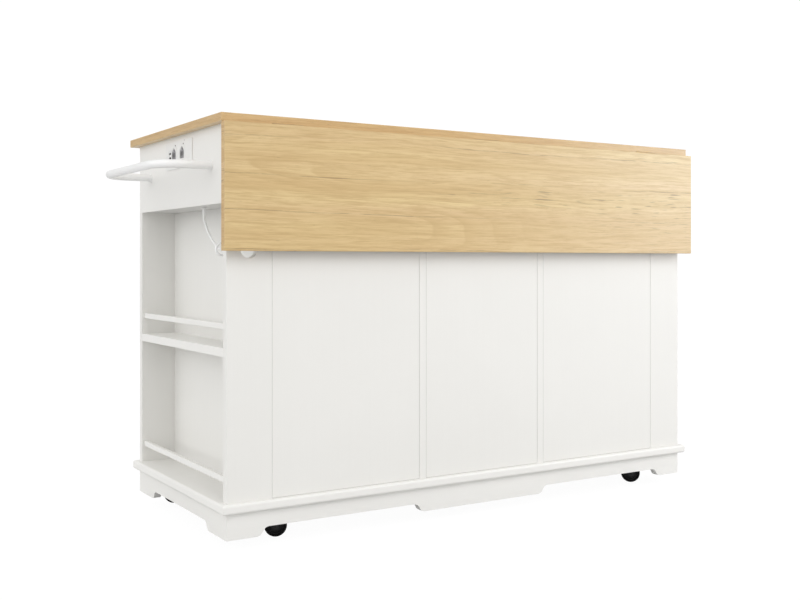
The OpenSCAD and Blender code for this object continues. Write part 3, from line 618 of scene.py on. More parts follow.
@dataclass(frozen=True)
class SocketFace(Coated):
    """Grey socket inserts with painted light above the slots, painted shade in a band across them and dark painted
    shade inside them and the ports, beside a white block that holds the ports.

    Attributes:
        block: colour of the block with the ports, linear RGB.
        gable_painted_light: painted light, a paler grey above the slot band, linear RGB.
        slot_band_shade: painted shade, a darker band across the slots, linear RGB.
        hollow_shade: painted shade inside the slots and ports, linear RGB.
        block_side: the block lies below this Y, in metres.
        levels: heights of the slot band's two edges and of the foot of the paler top, in metres.
        skin: X behind which a surface lies in a slot or port, in metres.
        edge: half the width in which one colour runs into the next, in metres.
    """

    block: Point = (0.80, 0.80, 0.795)
    gable_painted_light: Point = (0.43, 0.42, 0.43)
    slot_band_shade: Point = (0.15, 0.145, 0.15)
    hollow_shade: Point = (0.015, 0.015, 0.015)
    block_side: float = -0.041
    levels: Point = (0.8350, 0.8450, 0.8475)
    skin: float = 0.6541
    edge: float = 0.0003

    def past(self, graph: NodeGraph, value: Wire, level: float, above: bool) -> Wire:
        """The mask of what lies above a level, or below it.

        Args:
            graph: the material's graph.
            value: the coordinate.
            level: where the mask changes.
            above: whether it is 1 above the level, and not below it.

        Returns:
            The mask's socket.
        """
        ends = (0.0, 1.0) if above else (1.0, 0.0)
        return graph.span(value, level - self.edge, level + self.edge, *ends)

    def parts(self, graph: NodeGraph, at: Wire, color: Wire) -> Wire:
        """The painted shade across and inside the slots and ports, the painted light above them and the block, over
        the grey.

        Args:
            graph: the material's graph.
            at: object coordinates.
            color: the grey.

        Returns:
            The colour's socket.
        """
        x, y, z = graph.split(at)
        low, high, foot = self.levels
        band = graph.math("MULTIPLY", self.past(graph, z, low, True), self.past(graph, z, high, False))
        # painted shade in a band across the slots, painted light above it, the white block, then painted shade inside
        # the slots and ports
        for mask, tone in (
            (band, self.slot_band_shade),
            (self.past(graph, z, foot, True), self.gable_painted_light),
            (self.past(graph, y, self.block_side, False), self.block),
            (graph.span(x, self.skin - self.edge, self.skin, 1.0, 0.0), self.hollow_shade),
        ):
            color = graph.mix(mask, color, tone)
        return color


@dataclass(frozen=True)
class PaintedBoard(Finish):
    """Painted board with a faint wood grain pressed into its film.

    Attributes:
        upright: whether the grain runs along Z instead of along the board's length.
        grain: how finely the grain changes along and across itself.
        grain_ramp: where the grain darkens the paint, and how far.
        grain_color: what it darkens the paint towards, linear RGB.
        grain_height: share of the bump that is grain and not peel.
        peel: scale of the fine peel.
        mottle: scale of the broad mottle.
        joints: distances from the middle, along X, at which upright joints meet the board, in metres.
        foot: height at which the board stands on the one below, in metres.
        joint_width: width of the painted shade and dust in a joint, in metres.
        joint_core: share of that width that is fully darkened.
        foot_fade: height at which the painted shade and dust on the foot ends, in such widths.
        joint_depth: strength of the painted shade and dust in a joint.
        joint_shade_and_dust_color: colour of the painted shade and dust in a joint, linear RGB.
        underside_shade: painted shade on the faces that look down, as a factor of the colour.
        underside_shade_ramp: what counts as looking down: a normal's Z, and the share of the painted shade.
    """

    upright: bool = True
    grain: tuple[float, float] = (3.0, 210.0)
    grain_ramp: Ramp = (0.35, 0.75, 0.0, 0.02)
    grain_color: Point = (0.45, 0.43, 0.40)
    grain_height: float = 0.8
    peel: float = 700.0
    mottle: float = 3.0
    joints: tuple[float, ...] = ()
    foot: float = 0.0
    joint_width: float = 0.0008
    joint_core: float = 0.7
    foot_fade: float = 1.4
    joint_depth: float = 0.62
    joint_shade_and_dust_color: Point = (0.30, 0.29, 0.27)
    underside_shade: float = 1.0
    underside_shade_ramp: Ramp = (-0.9, -0.5, 1.0, 0.0)

    def joint_shade_and_dust(self, graph: NodeGraph, at: Wire) -> Wire:
        """Dust and shade in the joints round the board.

        Args:
            graph: the material's graph.
            at: object coordinates.

        Returns:
            The mask's socket.
        """
        x, _, z = graph.split(at)
        across = graph.math("ABSOLUTE", x)
        reach = self.joint_width
        mask = graph.span(z, self.foot + reach, self.foot + self.foot_fade * reach, self.joint_depth, 0.0)
        for joint in self.joints:
            off = graph.math("ABSOLUTE", graph.math("SUBTRACT", across, joint))
            # painted shade and dust in this joint, darkest in its middle
            dust = graph.span(off, self.joint_core * reach, reach, self.joint_depth, 0.0)
            mask = graph.math("MAXIMUM", mask, dust)
        return mask

    def pattern(self, graph: NodeGraph, shader: bpy.types.Node, at: Wire) -> None:
        """Wires film, grain, the painted shade and dust in the joints, and the painted shade on faces that look down.

        Args:
            graph: the material's graph.
            shader: its Principled BSDF.
            at: object coordinates.
        """
        along, across = self.grain
        scale = (across, across, along) if self.upright else (along, across, across)
        grain = graph.noise(graph.stretched(at, scale), *LINE_NOISE)
        skin = SkinNoise.place(graph, at, Peel_Scale=self.peel, Mottle_Scale=self.mottle)
        color = graph.mix(graph.span(skin["Mottle"], *BLEND_RANGE), self.color, self.shade)
        color = graph.mix(graph.span(grain, *self.grain_ramp), color, self.grain_color)
        # painted shade and dust in the joints and along the foot
        if self.joints or self.foot:
            color = graph.mix(self.joint_shade_and_dust(graph, at), color, self.joint_shade_and_dust_color)
        # painted shade on the faces that look down
        if self.underside_shade < 1.0:
            down = graph.span(graph.facing()[2], *self.underside_shade_ramp)
            color = graph.mix(down, color, (self.underside_shade,) * 3, "MULTIPLY")
        pressed = graph.math("MULTIPLY", grain, self.grain_height)
        height = graph.math("ADD", pressed, graph.math("MULTIPLY", skin["Peel"], 1.0 - self.grain_height))
        self.feed(graph, shader, color, grain, height)


@dataclass(frozen=True)
class Timber(Finish):
    """Oiled or varnished wood with its grain along one axis.

    Attributes:
        second: colour of the stripes that lean to pink, linear RGB.
        warm: colour of the growth lines, linear RGB.
        pore: colour of the pores, linear RGB.
        arch_lines: number of growth lines in a figure.
        arch_depth: strength of the growth lines.
        fibre_depth: strength of the fibres.
        pore_share: how many pores there are.
        pore_depth: strength of the pores.
        band_depth: strength of the darker bands.
        check_depth: strength of the dark checks.
        along: direction of the grain.
        face: direction that the board's broad sides look in; its edges get the edging's tone.
        edging: tone of the edges, as factors of the colour.
        edge_ramp: how far a face counts as an edge, from how far it looks the way of the broad sides.
        edging_at: where the figure is read for the strip on a face square to the grain.
        end_limit: a face that looks along the grain by more than this is square to it.
        hue_range: where the stripes run from the first colour to the second.
        band_range: where the darker bands set in.
        fibre_range: where the fibres set in.
        fibre_sink: how deep the fibres lie, as a share of the pores.
    """

    second: Point = (0.6, 0.45, 0.3)
    warm: Point = (0.5, 0.3, 0.15)
    pore: Point = (0.3, 0.18, 0.08)
    arch_lines: float = 26.0
    arch_depth: float = 0.45
    fibre_depth: float = 0.75
    pore_share: float = 0.5
    pore_depth: float = 0.6
    band_depth: float = 0.9
    check_depth: float = 0.7
    along: Axis = Axis.X
    face: Axis = Axis.Z
    edging: Point = (0.95, 0.885, 0.80)
    edge_ramp: Ramp = (0.3, 0.7, 1.0, 0.0)
    edging_at: float = 4.0
    end_limit: float = 0.8
    hue_range: tuple[float, float] = (0.38, 0.62)
    band_range: tuple[float, float] = (0.36, 0.66)
    fibre_range: tuple[float, float] = (0.45, 0.6)
    fibre_sink: float = 0.6

    def lengthwise(self, graph: NodeGraph, at: Wire) -> Wire:
        """Where the wood is read: along the grain first, then across it.

        On faces square to the grain a strip of edging runs along the edge instead.

        Args:
            graph: the material's graph.
            at: object coordinates.

        Returns:
            The vector.
        """
        x, y, z = graph.split(at)
        square = graph.facing()[0 if self.along is Axis.X else 1]
        if self.along is Axis.Y:
            x, y = y, x
        is_end = graph.math("GREATER_THAN", graph.math("ABSOLUTE", square), self.end_limit)
        chosen = graph.add("Mix", data_type="VECTOR")
        for name, value in (
            ("Factor", is_end),
            ("A", graph.joined(x, graph.math("SUBTRACT", y, z))),
            ("B", graph.joined(y, z, self.edging_at)),
        ):
            graph.wire(value, graph.live(chosen.inputs, name))
        return graph.live(chosen.outputs, "Result")

    def pattern(self, graph: NodeGraph, shader: bpy.types.Node, at: Wire) -> None:
        """Wires the wood, from its stripes to its checks and edges.

        Args:
            graph: the material's graph.
            shader: its Principled BSDF.
            at: object coordinates.
        """
        where = self.lengthwise(graph, at)
        wood = WoodFigure.place(graph, where, Arch_Lines=self.arch_lines, Pore_Share=self.pore_share)
        color = graph.mix(graph.span(wood["Hue"], *self.hue_range), self.color, self.second)
        for mask, tone in (
            (graph.span(wood["Bands"], *self.band_range, 0.0, self.band_depth), self.shade),
            (graph.math("MULTIPLY", wood["Figure"], self.arch_depth), self.warm),
            (graph.span(wood["Fibres"], *self.fibre_range, 0.0, self.fibre_depth), self.warm),
            (graph.math("MULTIPLY", wood["Pores"], self.pore_depth), self.pore),
            (graph.math("MULTIPLY", wood["Checks"], self.check_depth), self.pore),
        ):
            color = graph.mix(mask, color, tone)
        broad = graph.math("ABSOLUTE", graph.facing()[1 if self.face is Axis.Y else 2])
        color = graph.mix(graph.span(broad, *self.edge_ramp), color, self.edging, "MULTIPLY")
        height = graph.math("SUBTRACT", graph.math("MULTIPLY", wood["Fibres"], -self.fibre_sink), wood["Pores"])
        self.feed(graph, shader, color, wood["Fibres"], height)


@dataclass(frozen=True)
class BrushedMetal(Finish):
    """Satin metal with fine lines.

    Attributes:
        lines: scale of the brushing along each axis.
        mottle: scale of the tarnish.
        tarnish: how far the second colour comes through.
    """

    lines: Point = (60.0, 60.0, 2400.0)
    mottle: float = 40.0
    tarnish: float = 0.8

    def pattern(self, graph: NodeGraph, shader: bpy.types.Node, at: Wire) -> None:
        """Wires brushing and tarnish.

        Args:
            graph: the material's graph.
            shader: its Principled BSDF.
            at: object coordinates.
        """
        brushed = graph.noise(graph.stretched(at, self.lines), *LINE_NOISE)
        skin = SkinNoise.place(graph, at, Mottle_Scale=self.mottle)
        color = graph.mix(graph.math("MULTIPLY", skin["Mottle"], self.tarnish), self.color, self.shade)
        self.feed(graph, shader, color, brushed, brushed)


WHITE_UPRIGHT = PaintedBoard("white_board_upright", (0.805, 0.797, 0.768), (0.79, 0.782, 0.753), 0.42, 0.04, bump=0.06)
# the back boards get painted shade and dust in their joints and along their foot
WHITE_BACK = replace(WHITE_UPRIGHT, name="white_board_back", joints=(0.164, 0.182, 0.5505), foot=0.102)
# painted light: the level boards' white is a lighter copy of the same paint that the upright boards carry
WHITE_LEVEL = replace(
    WHITE_UPRIGHT, name="white_board_level", color=(0.832, 0.824, 0.796), shade=(0.817, 0.809, 0.781), upright=False,
)
# the end boxes get painted shade on their faces that look down
WHITE_BOX = replace(WHITE_LEVEL, name="white_board_box", underside_shade=0.76)
OAK = Timber(
    "honey_oak", (0.735, 0.56, 0.275), (0.63, 0.435, 0.198), 0.36, bump=0.25, relief=0.0004,
    second=(0.71, 0.515, 0.272), warm=(0.53, 0.34, 0.14), pore=(0.25, 0.15, 0.06), coat=0.15, specular=0.75,
    gleam=(0.72, 0.94, 1.0),
)
OAK_LEAF = replace(OAK, name="honey_oak_leaf", face=Axis.Y)
DRAWER_WOOD = Timber(
    "drawer_board", (0.62, 0.50, 0.33), (0.55, 0.43, 0.28), 0.5, bump=0.15, relief=0.0003,
    second=(0.60, 0.47, 0.31), warm=(0.48, 0.36, 0.21), pore=(0.38, 0.28, 0.16), arch_lines=16.0, pore_share=0.3,
    check_depth=0.0, along=Axis.Y, edging=(0.96, 0.93, 0.88),
)
YELLOW_ZINC = BrushedMetal("yellow_zinc", (0.72, 0.56, 0.32), (0.60, 0.46, 0.26), 0.45, metallic=0.35, bump=0.08)
NICKEL = BrushedMetal("satin_nickel", (0.62, 0.60, 0.57), (0.50, 0.49, 0.47), 0.34, metallic=1.0, bump=0.08)
ZINC = BrushedMetal("zinc_plate", (0.58, 0.58, 0.60), (0.44, 0.44, 0.46), 0.4, 0.1, metallic=1.0, bump=0.1)
BRASS = BrushedMetal("contact_brass", (0.72, 0.52, 0.22), (0.55, 0.38, 0.15), 0.35, metallic=1.0, bump=0.05)
POWDER_WHITE = Coated(
    "powder_white", (0.90, 0.90, 0.895), (0.88, 0.88, 0.875), 0.38, 0.06, bump=0.12, peel=1300.0, coat=0.15,
)
PLASTIC_WHITE = Coated(
    "plastic_white", (0.83, 0.825, 0.805), (0.80, 0.795, 0.775), 0.3, 0.05, bump=0.06, peel=1600.0, coat=0.15,
)
PLASTIC_BRIGHT = replace(
    PLASTIC_WHITE, name="plastic_bright", color=(0.94, 0.94, 0.94), shade=(0.92, 0.92, 0.92), rough=0.28, coat=0.2,
)
# the socket inserts' grey, with painted light above the slots and painted shade across and inside them
PLASTIC_GREY = SocketFace(
    "plastic_grey", (0.25, 0.245, 0.25), (0.21, 0.205, 0.21), 0.42, 0.06, bump=0.12, peel=1800.0,
)
PLASTIC_BLACK = Coated(
    "plastic_black", (0.009, 0.009, 0.0095), (0.014, 0.014, 0.0145), bump=0.2, peel=1500.0, specular=0.35,
)
CABLE_WHITE = Coated(
    "cable_white", (0.92, 0.92, 0.91), (0.89, 0.89, 0.88), 0.4, 0.07, bump=0.1, peel=1400.0, sheen=0.05,
)
BLACK_METAL = Coated(
    "black_metal", (0.008, 0.008, 0.0085), (0.013, 0.013, 0.0135), 0.38, bump=0.15, peel=1100.0, specular=0.35,
)
TREAD = Coated(
    "black_tread", (0.004, 0.004, 0.004), (0.008, 0.0078, 0.0075), 0.62, 0.1, bump=0.3, peel=700.0, dust=0.03,
    specular=0.25,
)
DARK_SLOT = Coated("dark_slot", (0.01, 0.01, 0.01), (0.016, 0.016, 0.016), 0.6, 0.1, bump=0.1)


# ---------------------------------------------------------------- modelling toolkit


class Bench:
    """Modelling moves with Blender's own operators, each done with nothing else selected."""

    @staticmethod
    def deselect() -> None:
        """Deselects every object."""
        for obj in bpy.context.view_layer.objects:
            obj.select_set(False)

    @classmethod
    def hold(cls, obj: Piece) -> Piece:
        """Makes an object the only selected and the active one.

        Args:
            obj: the object.

        Returns:
            The same object.
        """
        cls.deselect()
        obj.select_set(True)
        bpy.context.view_layer.objects.active = obj
        return obj

    @staticmethod
    def edit(on: bool) -> None:
        """Enters or leaves edit mode."""
        bpy.ops.object.mode_set(mode="EDIT" if on else "OBJECT")

    @staticmethod
    def named(name: str) -> Piece:
        """Names the active object and puts its place into its mesh.

        Args:
            name: the object's name.

        Returns:
            The object.
        """
        obj = bpy.context.object
        obj.name = obj.data.name = name
        bpy.ops.object.transform_apply(location=True, rotation=True, scale=True)
        return obj

    @classmethod
    def settle(cls, obj: Piece, smooth: float = 35.0) -> Piece:
        """Puts an object's place into its mesh and shades it smooth up to an angle.

        Args:
            obj: the piece.
            smooth: the angle in degrees.

        Returns:
            The same object.
        """
        cls.hold(obj)
        bpy.ops.object.transform_apply(location=True, rotation=True, scale=True)
        bpy.ops.object.shade_smooth_by_angle(angle=math.radians(smooth))
        return obj

    @classmethod
    def box(cls, name: str, lo: Vector, hi: Vector) -> Piece:
        """A box between two corners, with its place in its mesh.

        Args:
            name: the object's name.
            lo: lowest corner.
            hi: highest corner.

        Returns:
            The object.
        """
        cls.deselect()
        bpy.ops.mesh.primitive_cube_add(size=1.0, location=(lo + hi) / 2)
        bpy.context.object.scale = hi - lo
        return cls.named(name)

    @classmethod
    def pick(cls, obj: Piece, kind: str, test: Callable[[object], bool]) -> None:
        """Enters edit mode with only the faces or edges that pass a test selected.

        Args:
            obj: the piece.
            kind: FACE or EDGE.
            test: takes a face or an edge.
        """
        cls.hold(obj)
        cls.edit(True)
        bpy.ops.mesh.select_mode(type=kind)
        work = bmesh.from_edit_mesh(obj.data)
        items = work.faces if kind == "FACE" else work.edges
        for item in items:
            item.select_set(False)
        for item in items:
            if test(item):
                item.select_set(True)
        bmesh.update_edit_mesh(obj.data)

    @classmethod
    def sink_rear(cls, obj: Piece, rim: float, depth: float) -> None:
        """Insets the faces that look towards +Y and moves them that way.

        Args:
            obj: the piece.
            rim: width of the rim that is left.
            depth: how far the inner faces go.
        """
        cls.pick(obj, "FACE", lambda face: face.normal.y > ALONG)
        bpy.ops.mesh.inset(thickness=rim, depth=0.0)
        bpy.ops.transform.translate(value=Vector((0, depth, 0)))
        cls.edit(False)

    @classmethod
    def bevel(cls, obj: Piece, width: float, segments: int = 2, angle: float = 30.0) -> Piece:
        """Rounds all edges sharper than an angle, with an applied modifier.

        Args:
            obj: the piece.
            width: width of the rounding.
            segments: number of steps.
            angle: the least angle in degrees.

        Returns:
            The same object.
        """
        cls.hold(obj)
        mod = obj.modifiers.new("round", "BEVEL")
        mod.width = width
        mod.segments = segments
        mod.limit_method = "ANGLE"
        mod.angle_limit = math.radians(angle)
        bpy.ops.object.modifier_apply(modifier=mod.name)
        return obj

    @classmethod
    def round_along_y(cls, obj: Piece, width: float, segments: int) -> None:
        """Rounds the edges that run along Y.

        Args:
            obj: the piece.
            width: width of the rounding.
            segments: number of steps.
        """
        cls.pick(obj, "EDGE", lambda edge: abs((edge.verts[1].co - edge.verts[0].co).normalized().y) > ALONG)
        bpy.ops.mesh.bevel(offset=width, segments=segments, affect="EDGES", clamp_overlap=True)
        cls.edit(False)

    @classmethod
    def cut(cls, obj: Piece, tool: Piece) -> Piece:
        """Cuts one object out of another and deletes the cutter.

        Args:
            obj: the piece.
            tool: the cutter.

        Returns:
            The piece.
        """
        cls.hold(obj)
        mod = obj.modifiers.new("cut", "BOOLEAN")
        mod.operation = "DIFFERENCE"
        mod.solver = "EXACT"
        mod.object = tool
        bpy.ops.object.modifier_apply(modifier=mod.name)
        bpy.data.objects.remove(tool)
        return obj

    @classmethod
    def join(cls, name: str, parts: list[Piece]) -> Piece:
        """Joins objects into one.

        Args:
            name: name of the result.
            parts: what is joined.

        Returns:
            The joined object.
        """
        cls.hold(parts[0])
        for part in parts:
            part.select_set(True)
        if len(parts) > 1:
            bpy.ops.object.join()
        parts[0].name = parts[0].data.name = name
        return parts[0]

    @staticmethod
    def weld(fill: bool = False) -> None:
        """Merges doubles in edit mode and turns all faces outwards.

        Args:
            fill: whether open ends are filled too.
        """
        bpy.ops.mesh.select_all(action="SELECT")
        bpy.ops.mesh.remove_doubles(threshold=WELD)
        if fill:
            bpy.ops.mesh.fill_holes(sides=0)
            bpy.ops.mesh.select_all(action="SELECT")
        bpy.ops.mesh.normals_make_consistent(inside=False)

    @classmethod
    def lathe(
        cls, name: str, outline: Outline | list[tuple[float, float]], foot: Vector, axis: Axis, steps: int = 48
    ) -> Piece:
        """Spins an outline round an axis.

        Args:
            name: the object's name.
            outline: points as (radius, height) in millimetres, starting and ending on or off the axis.
            foot: where height 0 is, in metres.
            axis: the way that height grows.
            steps: number of steps in the turn.

        Returns:
            The turned object, closed and with its faces outwards.
        """
        cls.deselect()
        bpy.ops.mesh.primitive_plane_add(size=MM)
        obj = bpy.context.object
        cls.edit(True)
        bpy.ops.mesh.delete(type="VERT")
        work = bmesh.from_edit_mesh(obj.data)
        dots = [work.verts.new((radius * MM, 0.0, height * MM)) for radius, height in outline]
        for a, b in zip(dots, dots[1:]):
            work.edges.new((a, b))
        bmesh.update_edit_mesh(obj.data)
        bpy.ops.mesh.select_all(action="SELECT")
        bpy.ops.mesh.spin(steps=steps, angle=math.tau, center=(0, 0, 0), axis=Axis.Z.value)
        cls.weld()
        cls.edit(False)
        obj.rotation_euler = axis.turn()
        obj.location = foot
        return cls.named(name)

    @staticmethod
    def copy(obj: Piece, name: str, matrix: Matrix) -> Piece:
        """A copy with its own mesh, moved by a matrix.

        Args:
            obj: what is copied.
            name: the copy's name.
            matrix: a shift and a turn, applied to its mesh.

        Returns:
            The copy.
        """
        twin = obj.copy()
        twin.data = obj.data.copy()
        twin.name = twin.data.name = name
        bpy.context.scene.collection.objects.link(twin)
        twin.data.transform(matrix)
        return twin

    @staticmethod
    def dress(obj: Piece, finish: Finish) -> None:
        """Gives an object one finish."""
        obj.data.materials.clear()
        obj.data.materials.append(finish.material())


@dataclass
class Assembly:
    """What every sub-assembly shares: its way to log and hand over a piece."""

    def keep(self, obj: Piece, finish: Finish, body: str, slot: str, *replaced: str) -> None:
        """Dresses a piece, lets it ride on its body and logs it.

        Args:
            obj: the piece.
            finish: its finish.
            body: the CAD body that it moves with.
            slot: the record's material slot; not used.
            replaced: CAD nodes that it stands for.
        """
        Bench.dress(obj, finish)
        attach(obj, body)
        if replaced:
            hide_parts(*replaced)
        LOG.info("%s: %s on %s", type(self).__name__, obj.name, body)


# ---------------------------------------------------------------- lead


@dataclass(frozen=True)
class Ribs:
    """Soft ribs round a sleeve that widens, in millimetres.

    Attributes:
        count: how many there are.
        first: height of the first.
        pitch: height from one to the next.
        radius: radius of the first.
        growth: how much wider each is than the one before.
        shape: outline of one rib, from its own radius and height.
    """

    count: int
    first: float
    pitch: float
    radius: float
    growth: float
    shape: Outline

    def outline(self) -> list[tuple[float, float]]:
        """Puts the ribs one above the other.

        Returns:
            The outline of all ribs, from the first up.
        """
        return [
            (self.radius + step * self.growth + out, self.first + step * self.pitch + up)
            for step in range(self.count) for out, up in self.shape
        ]


@dataclass(frozen=True)
class StrapBlock:
    """A block on the strap's top, in millimetres from the strap's inner top edge.

    Attributes:
        start: where it begins along the strap.
        stop: where it ends.
        wider: how far it reaches past the strap's edges.
        low: height of its foot.
        high: height of its top.
        rounding: width of its rounded edges.
    """

    start: float
    stop: float
    wider: float
    low: float
    high: float
    rounding: float


@dataclass
class Lead(Assembly):
    """The lead: gland, free stretches, coil, strap and plug, from end to end one white cable.

    Sizes are in millimetres, as in the construction. An outline holds (radius, height) points.
    """

    diameter: float = 5.0
    length: float = 1434.0
    route_steps: int = 8
    drop: tuple[Point, ...] = (
        (617, 63, 698), (617, 64, 690), (617, 71, 682), (617, 84, 666), (617, 105, 649),
        (619, 130, 637), (627, 165, 629), (634, 195, 625), (638, 217, 623), (639, 230, 619),
        (638, 239, 609), (637, 242, 596), (636, 242, 569.6), (634.5, 241, 530),
        (632.5, 240, 490.4), (632, 240, 464), (630.5, 241.5, 451), (627, 245, 442),
    )
    tail: tuple[Point, ...] = ((574, 212, 424), (578, 202, 427), (581.5, 193, 429))
    straight: float = 1.4
    coil_middle: tuple[float, float] = (602.0, 225.5)
    coil_inner: float = 20.6
    coil_pitch: float = 5.6
    coil_rise: float = 5.5
    coil_layers: int = 4
    coil_turns: float = 6 + 1 / 3
    coil_points: int = 48
    coil_low: float = 423.0
    climb_turn: float = 0.5

    gland_at: tuple[float, float] = (617.0, 63.0)
    box_foot: float = 718.0
    gland_hang: float = 20.0
    gland_mouth: Outline = ((2.55, 0.0), (2.9, 0.0), (3.05, 0.4))
    gland_ribs: Ribs = Ribs(4, 1.6, 3.6, 3.15, 0.26, ((0.0, 0.0), (-0.35, 0.4), (-0.3, 1.5), (0.2, 1.9)))
    gland_collar: Outline = (
        (4.3, 16.0), (4.5, 17.0), (6.8, 17.3), (7.3, 17.8), (7.4, 19.7), (6.0, 19.9), (6.0, 38.0), (2.55, 38.0),
    )

    shelf: float = 419.3
    strap_turn: float = -60.0
    strap_width: float = 8.0
    strap_wall: float = 0.9
    strap_play: float = 0.4
    strap_play_up: float = 0.3
    strap_outer_round: float = 2.4
    strap_inner_round: float = 1.5
    strap_steps: int = 5
    strap_lock: StrapBlock = StrapBlock(4.0, 11.0, 1.0, -0.3, 3.4, 0.8)
    strap_end: StrapBlock = StrapBlock(10.5, 15.5, -1.0, 0.9, 2.1, 0.4)

    plug: Point = (582, 184, 429)
    boot: float = 16.0
    boot_mouth: Outline = ((0.0, 0.0), (3.3, 0.0), (3.6, 0.4))
    boot_ribs: Ribs = Ribs(5, 1.2, 2.7, 3.8, 0.42, ((0.0, 0.0), (-0.6, 0.4), (-0.5, 1.2), (0.3, 1.6)))
    boot_root: Outline = ((6.2, 15.0), (6.6, 17.5), (0.0, 17.5))
    body: Point = (24.0, 32.0, 19.0)
    body_round: float = 5.0
    body_steps: int = 6
    body_edge: float = 0.9
    body_edge_steps: int = 3
    body_edge_angle: float = 50.0
    rear_rim: float = 3.5
    rear_rise: float = 1.2
    grips: int = 3
    grip_from: float = 6.0
    grip_pitch: float = 3.0
    grip_width: float = 1.1
    grip_depth: float = 0.7
    grip_round: float = 4.4
    past: float = 10.0
    blade_gap: float = 12.7
    blade_wall: float = 1.5
    blade_length: float = 16.0
    blade_root: float = 2.0
    blade_low: float = -6.0
    blade_high: float = 0.4
    blade_edge: float = 0.5
    pin_up: float = 5.0
    pin: Outline = ((0, 0), (2.4, 0), (2.4, 17.5), (2.1, 18.9), (1.3, 19.8), (0, 20))

    eye_at: Point = (638.0, 217.0, 623.0)
    eye_ring: float = 12.5
    eye_wire: float = 2.5
    eye_steps: tuple[int, int] = (64, 24)
    eye_stem: Outline = ((0.0, -0.5), (2.6, -0.5), (2.0, 1.5))
    eye_base: Outline = ((2.0, -6.0), (2.4, -4.0), (4.0, -3.0), (7.4, -2.6), (7.9, -2.0), (8.0, 0.0), (0.0, 0.0))
    back: float = 259.0

    def climb(self, turn: float) -> float:
        """How many layers up the coil is after some turns.

        Args:
            turn: turns from the inner start.

        Returns:
            The layer, between two layers where the spiral reverses.
        """
        per_layer = self.coil_turns / self.coil_layers
        k = turn / per_layer
        near = math.floor(k + 0.5)
        if near < 1 or near > self.coil_layers - 1:
            return min(max(math.floor(k), 0), self.coil_layers - 1)
        return near - 1 + min(max((k - near) * per_layer / self.climb_turn + 0.5, 0.0), 1.0)

    def coil_point(self, turn: float) -> Vector:
        """The coil's centreline after some turns, in millimetres.

        Args:
            turn: turns from the inner start.

        Returns:
            The point.
        """
        per_layer = self.coil_turns / self.coil_layers
        k = turn / per_layer
        layer = math.floor(k)
        share = k - layer
        radius = self.coil_inner + self.coil_pitch * per_layer * (1 - share if layer % 2 == 0 else share)
        angle = math.pi - math.tau * turn
        x, y = self.coil_middle
        height = self.coil_low + self.coil_rise * self.climb(turn)
        return Vector((x + radius * math.cos(angle), y + radius * math.sin(angle), height))

    def smooth(self, route: tuple[Point, ...]) -> list[Vector]:
        """A smooth curve through given points.

        Args:
            route: the points.

        Returns:
            The curve's points, in millimetres.
        """
        dots = [Vector(p) for p in route]
        last = len(dots) - 1
        curve = []
        for i in range(last):
            a, b, c, d = dots[max(i - 1, 0)], dots[i], dots[i + 1], dots[min(i + 2, last)]
            for step in range(self.route_steps):
                u = step / self.route_steps
                curve.append(
                    0.5 * (2 * b + (c - a) * u + (2 * a - 5 * b + 4 * c - d) * u * u
                           + (3 * b - a - 3 * c + d) * u * u * u)
                )
        return curve + [dots[last]]

    def path(self) -> list[Vector]:
        """Runs the lead's centreline from the gland to the plug.

        Returns:
            Its points, in metres.
        """
        count = round(self.coil_turns * self.coil_points)
        coil = [self.coil_point(i / self.coil_points) for i in range(count + 1)]
        angle = math.pi - math.tau * self.coil_turns
        way_out = self.diameter * Vector((math.sin(angle), -math.cos(angle), 0))
        way_in = self.diameter * Vector((0, -1, 0))
        plug = Vector(self.plug)
        dots = self.smooth(self.drop) + [coil[-1] + self.straight * way_out, coil[-1] + way_out]
        dots += coil[::-1] + [coil[0] + way_in, coil[0] + self.straight * way_in]
        dots += self.smooth(self.tail) + [plug + Vector((0, self.diameter, 0)), plug]
        return [p * MM for p in dots]

    def build_cable(self) -> tuple[Piece, Vector]:
        """Makes the cable as one curve.

        Returns:
            The cable and the point where it leaves the gland.
        """
        dots = self.path()
        data = bpy.data.curves.new("lead_cable", "CURVE")
        data.dimensions = "3D"
        spline = data.splines.new("POLY")
        spline.points.add(len(dots) - 1)
        for point, dot in zip(spline.points, dots):
            point.co = (*dot, 1.0)
        data.bevel_depth = self.diameter / 2 * MM
        data.bevel_resolution = 4
        data.use_fill_caps = True
        cable = bpy.data.objects.new("lead_cable", data)
        bpy.context.scene.collection.objects.link(cable)
        self.keep(cable, CABLE_WHITE, "root", "lead_white", "lead_drop", "lead_coil", "lead_tail")
        return cable, dots[0]

    def build_gland(self) -> Piece:
        """Makes the strain relief: a low collar under the box and a ribbed sleeve round the cable.

        Returns:
            The strain relief.
        """
        outline = [*self.gland_mouth, *self.gland_ribs.outline(), *self.gland_collar, self.gland_mouth[0]]
        foot = mm(*self.gland_at, self.box_foot - self.gland_hang)
        sleeve = Bench.settle(Bench.lathe("lead_gland_sleeve", outline, foot, Axis.Z), TURNED)
        self.keep(sleeve, CABLE_WHITE, "root", "lead_white", "lead_gland")
        return sleeve

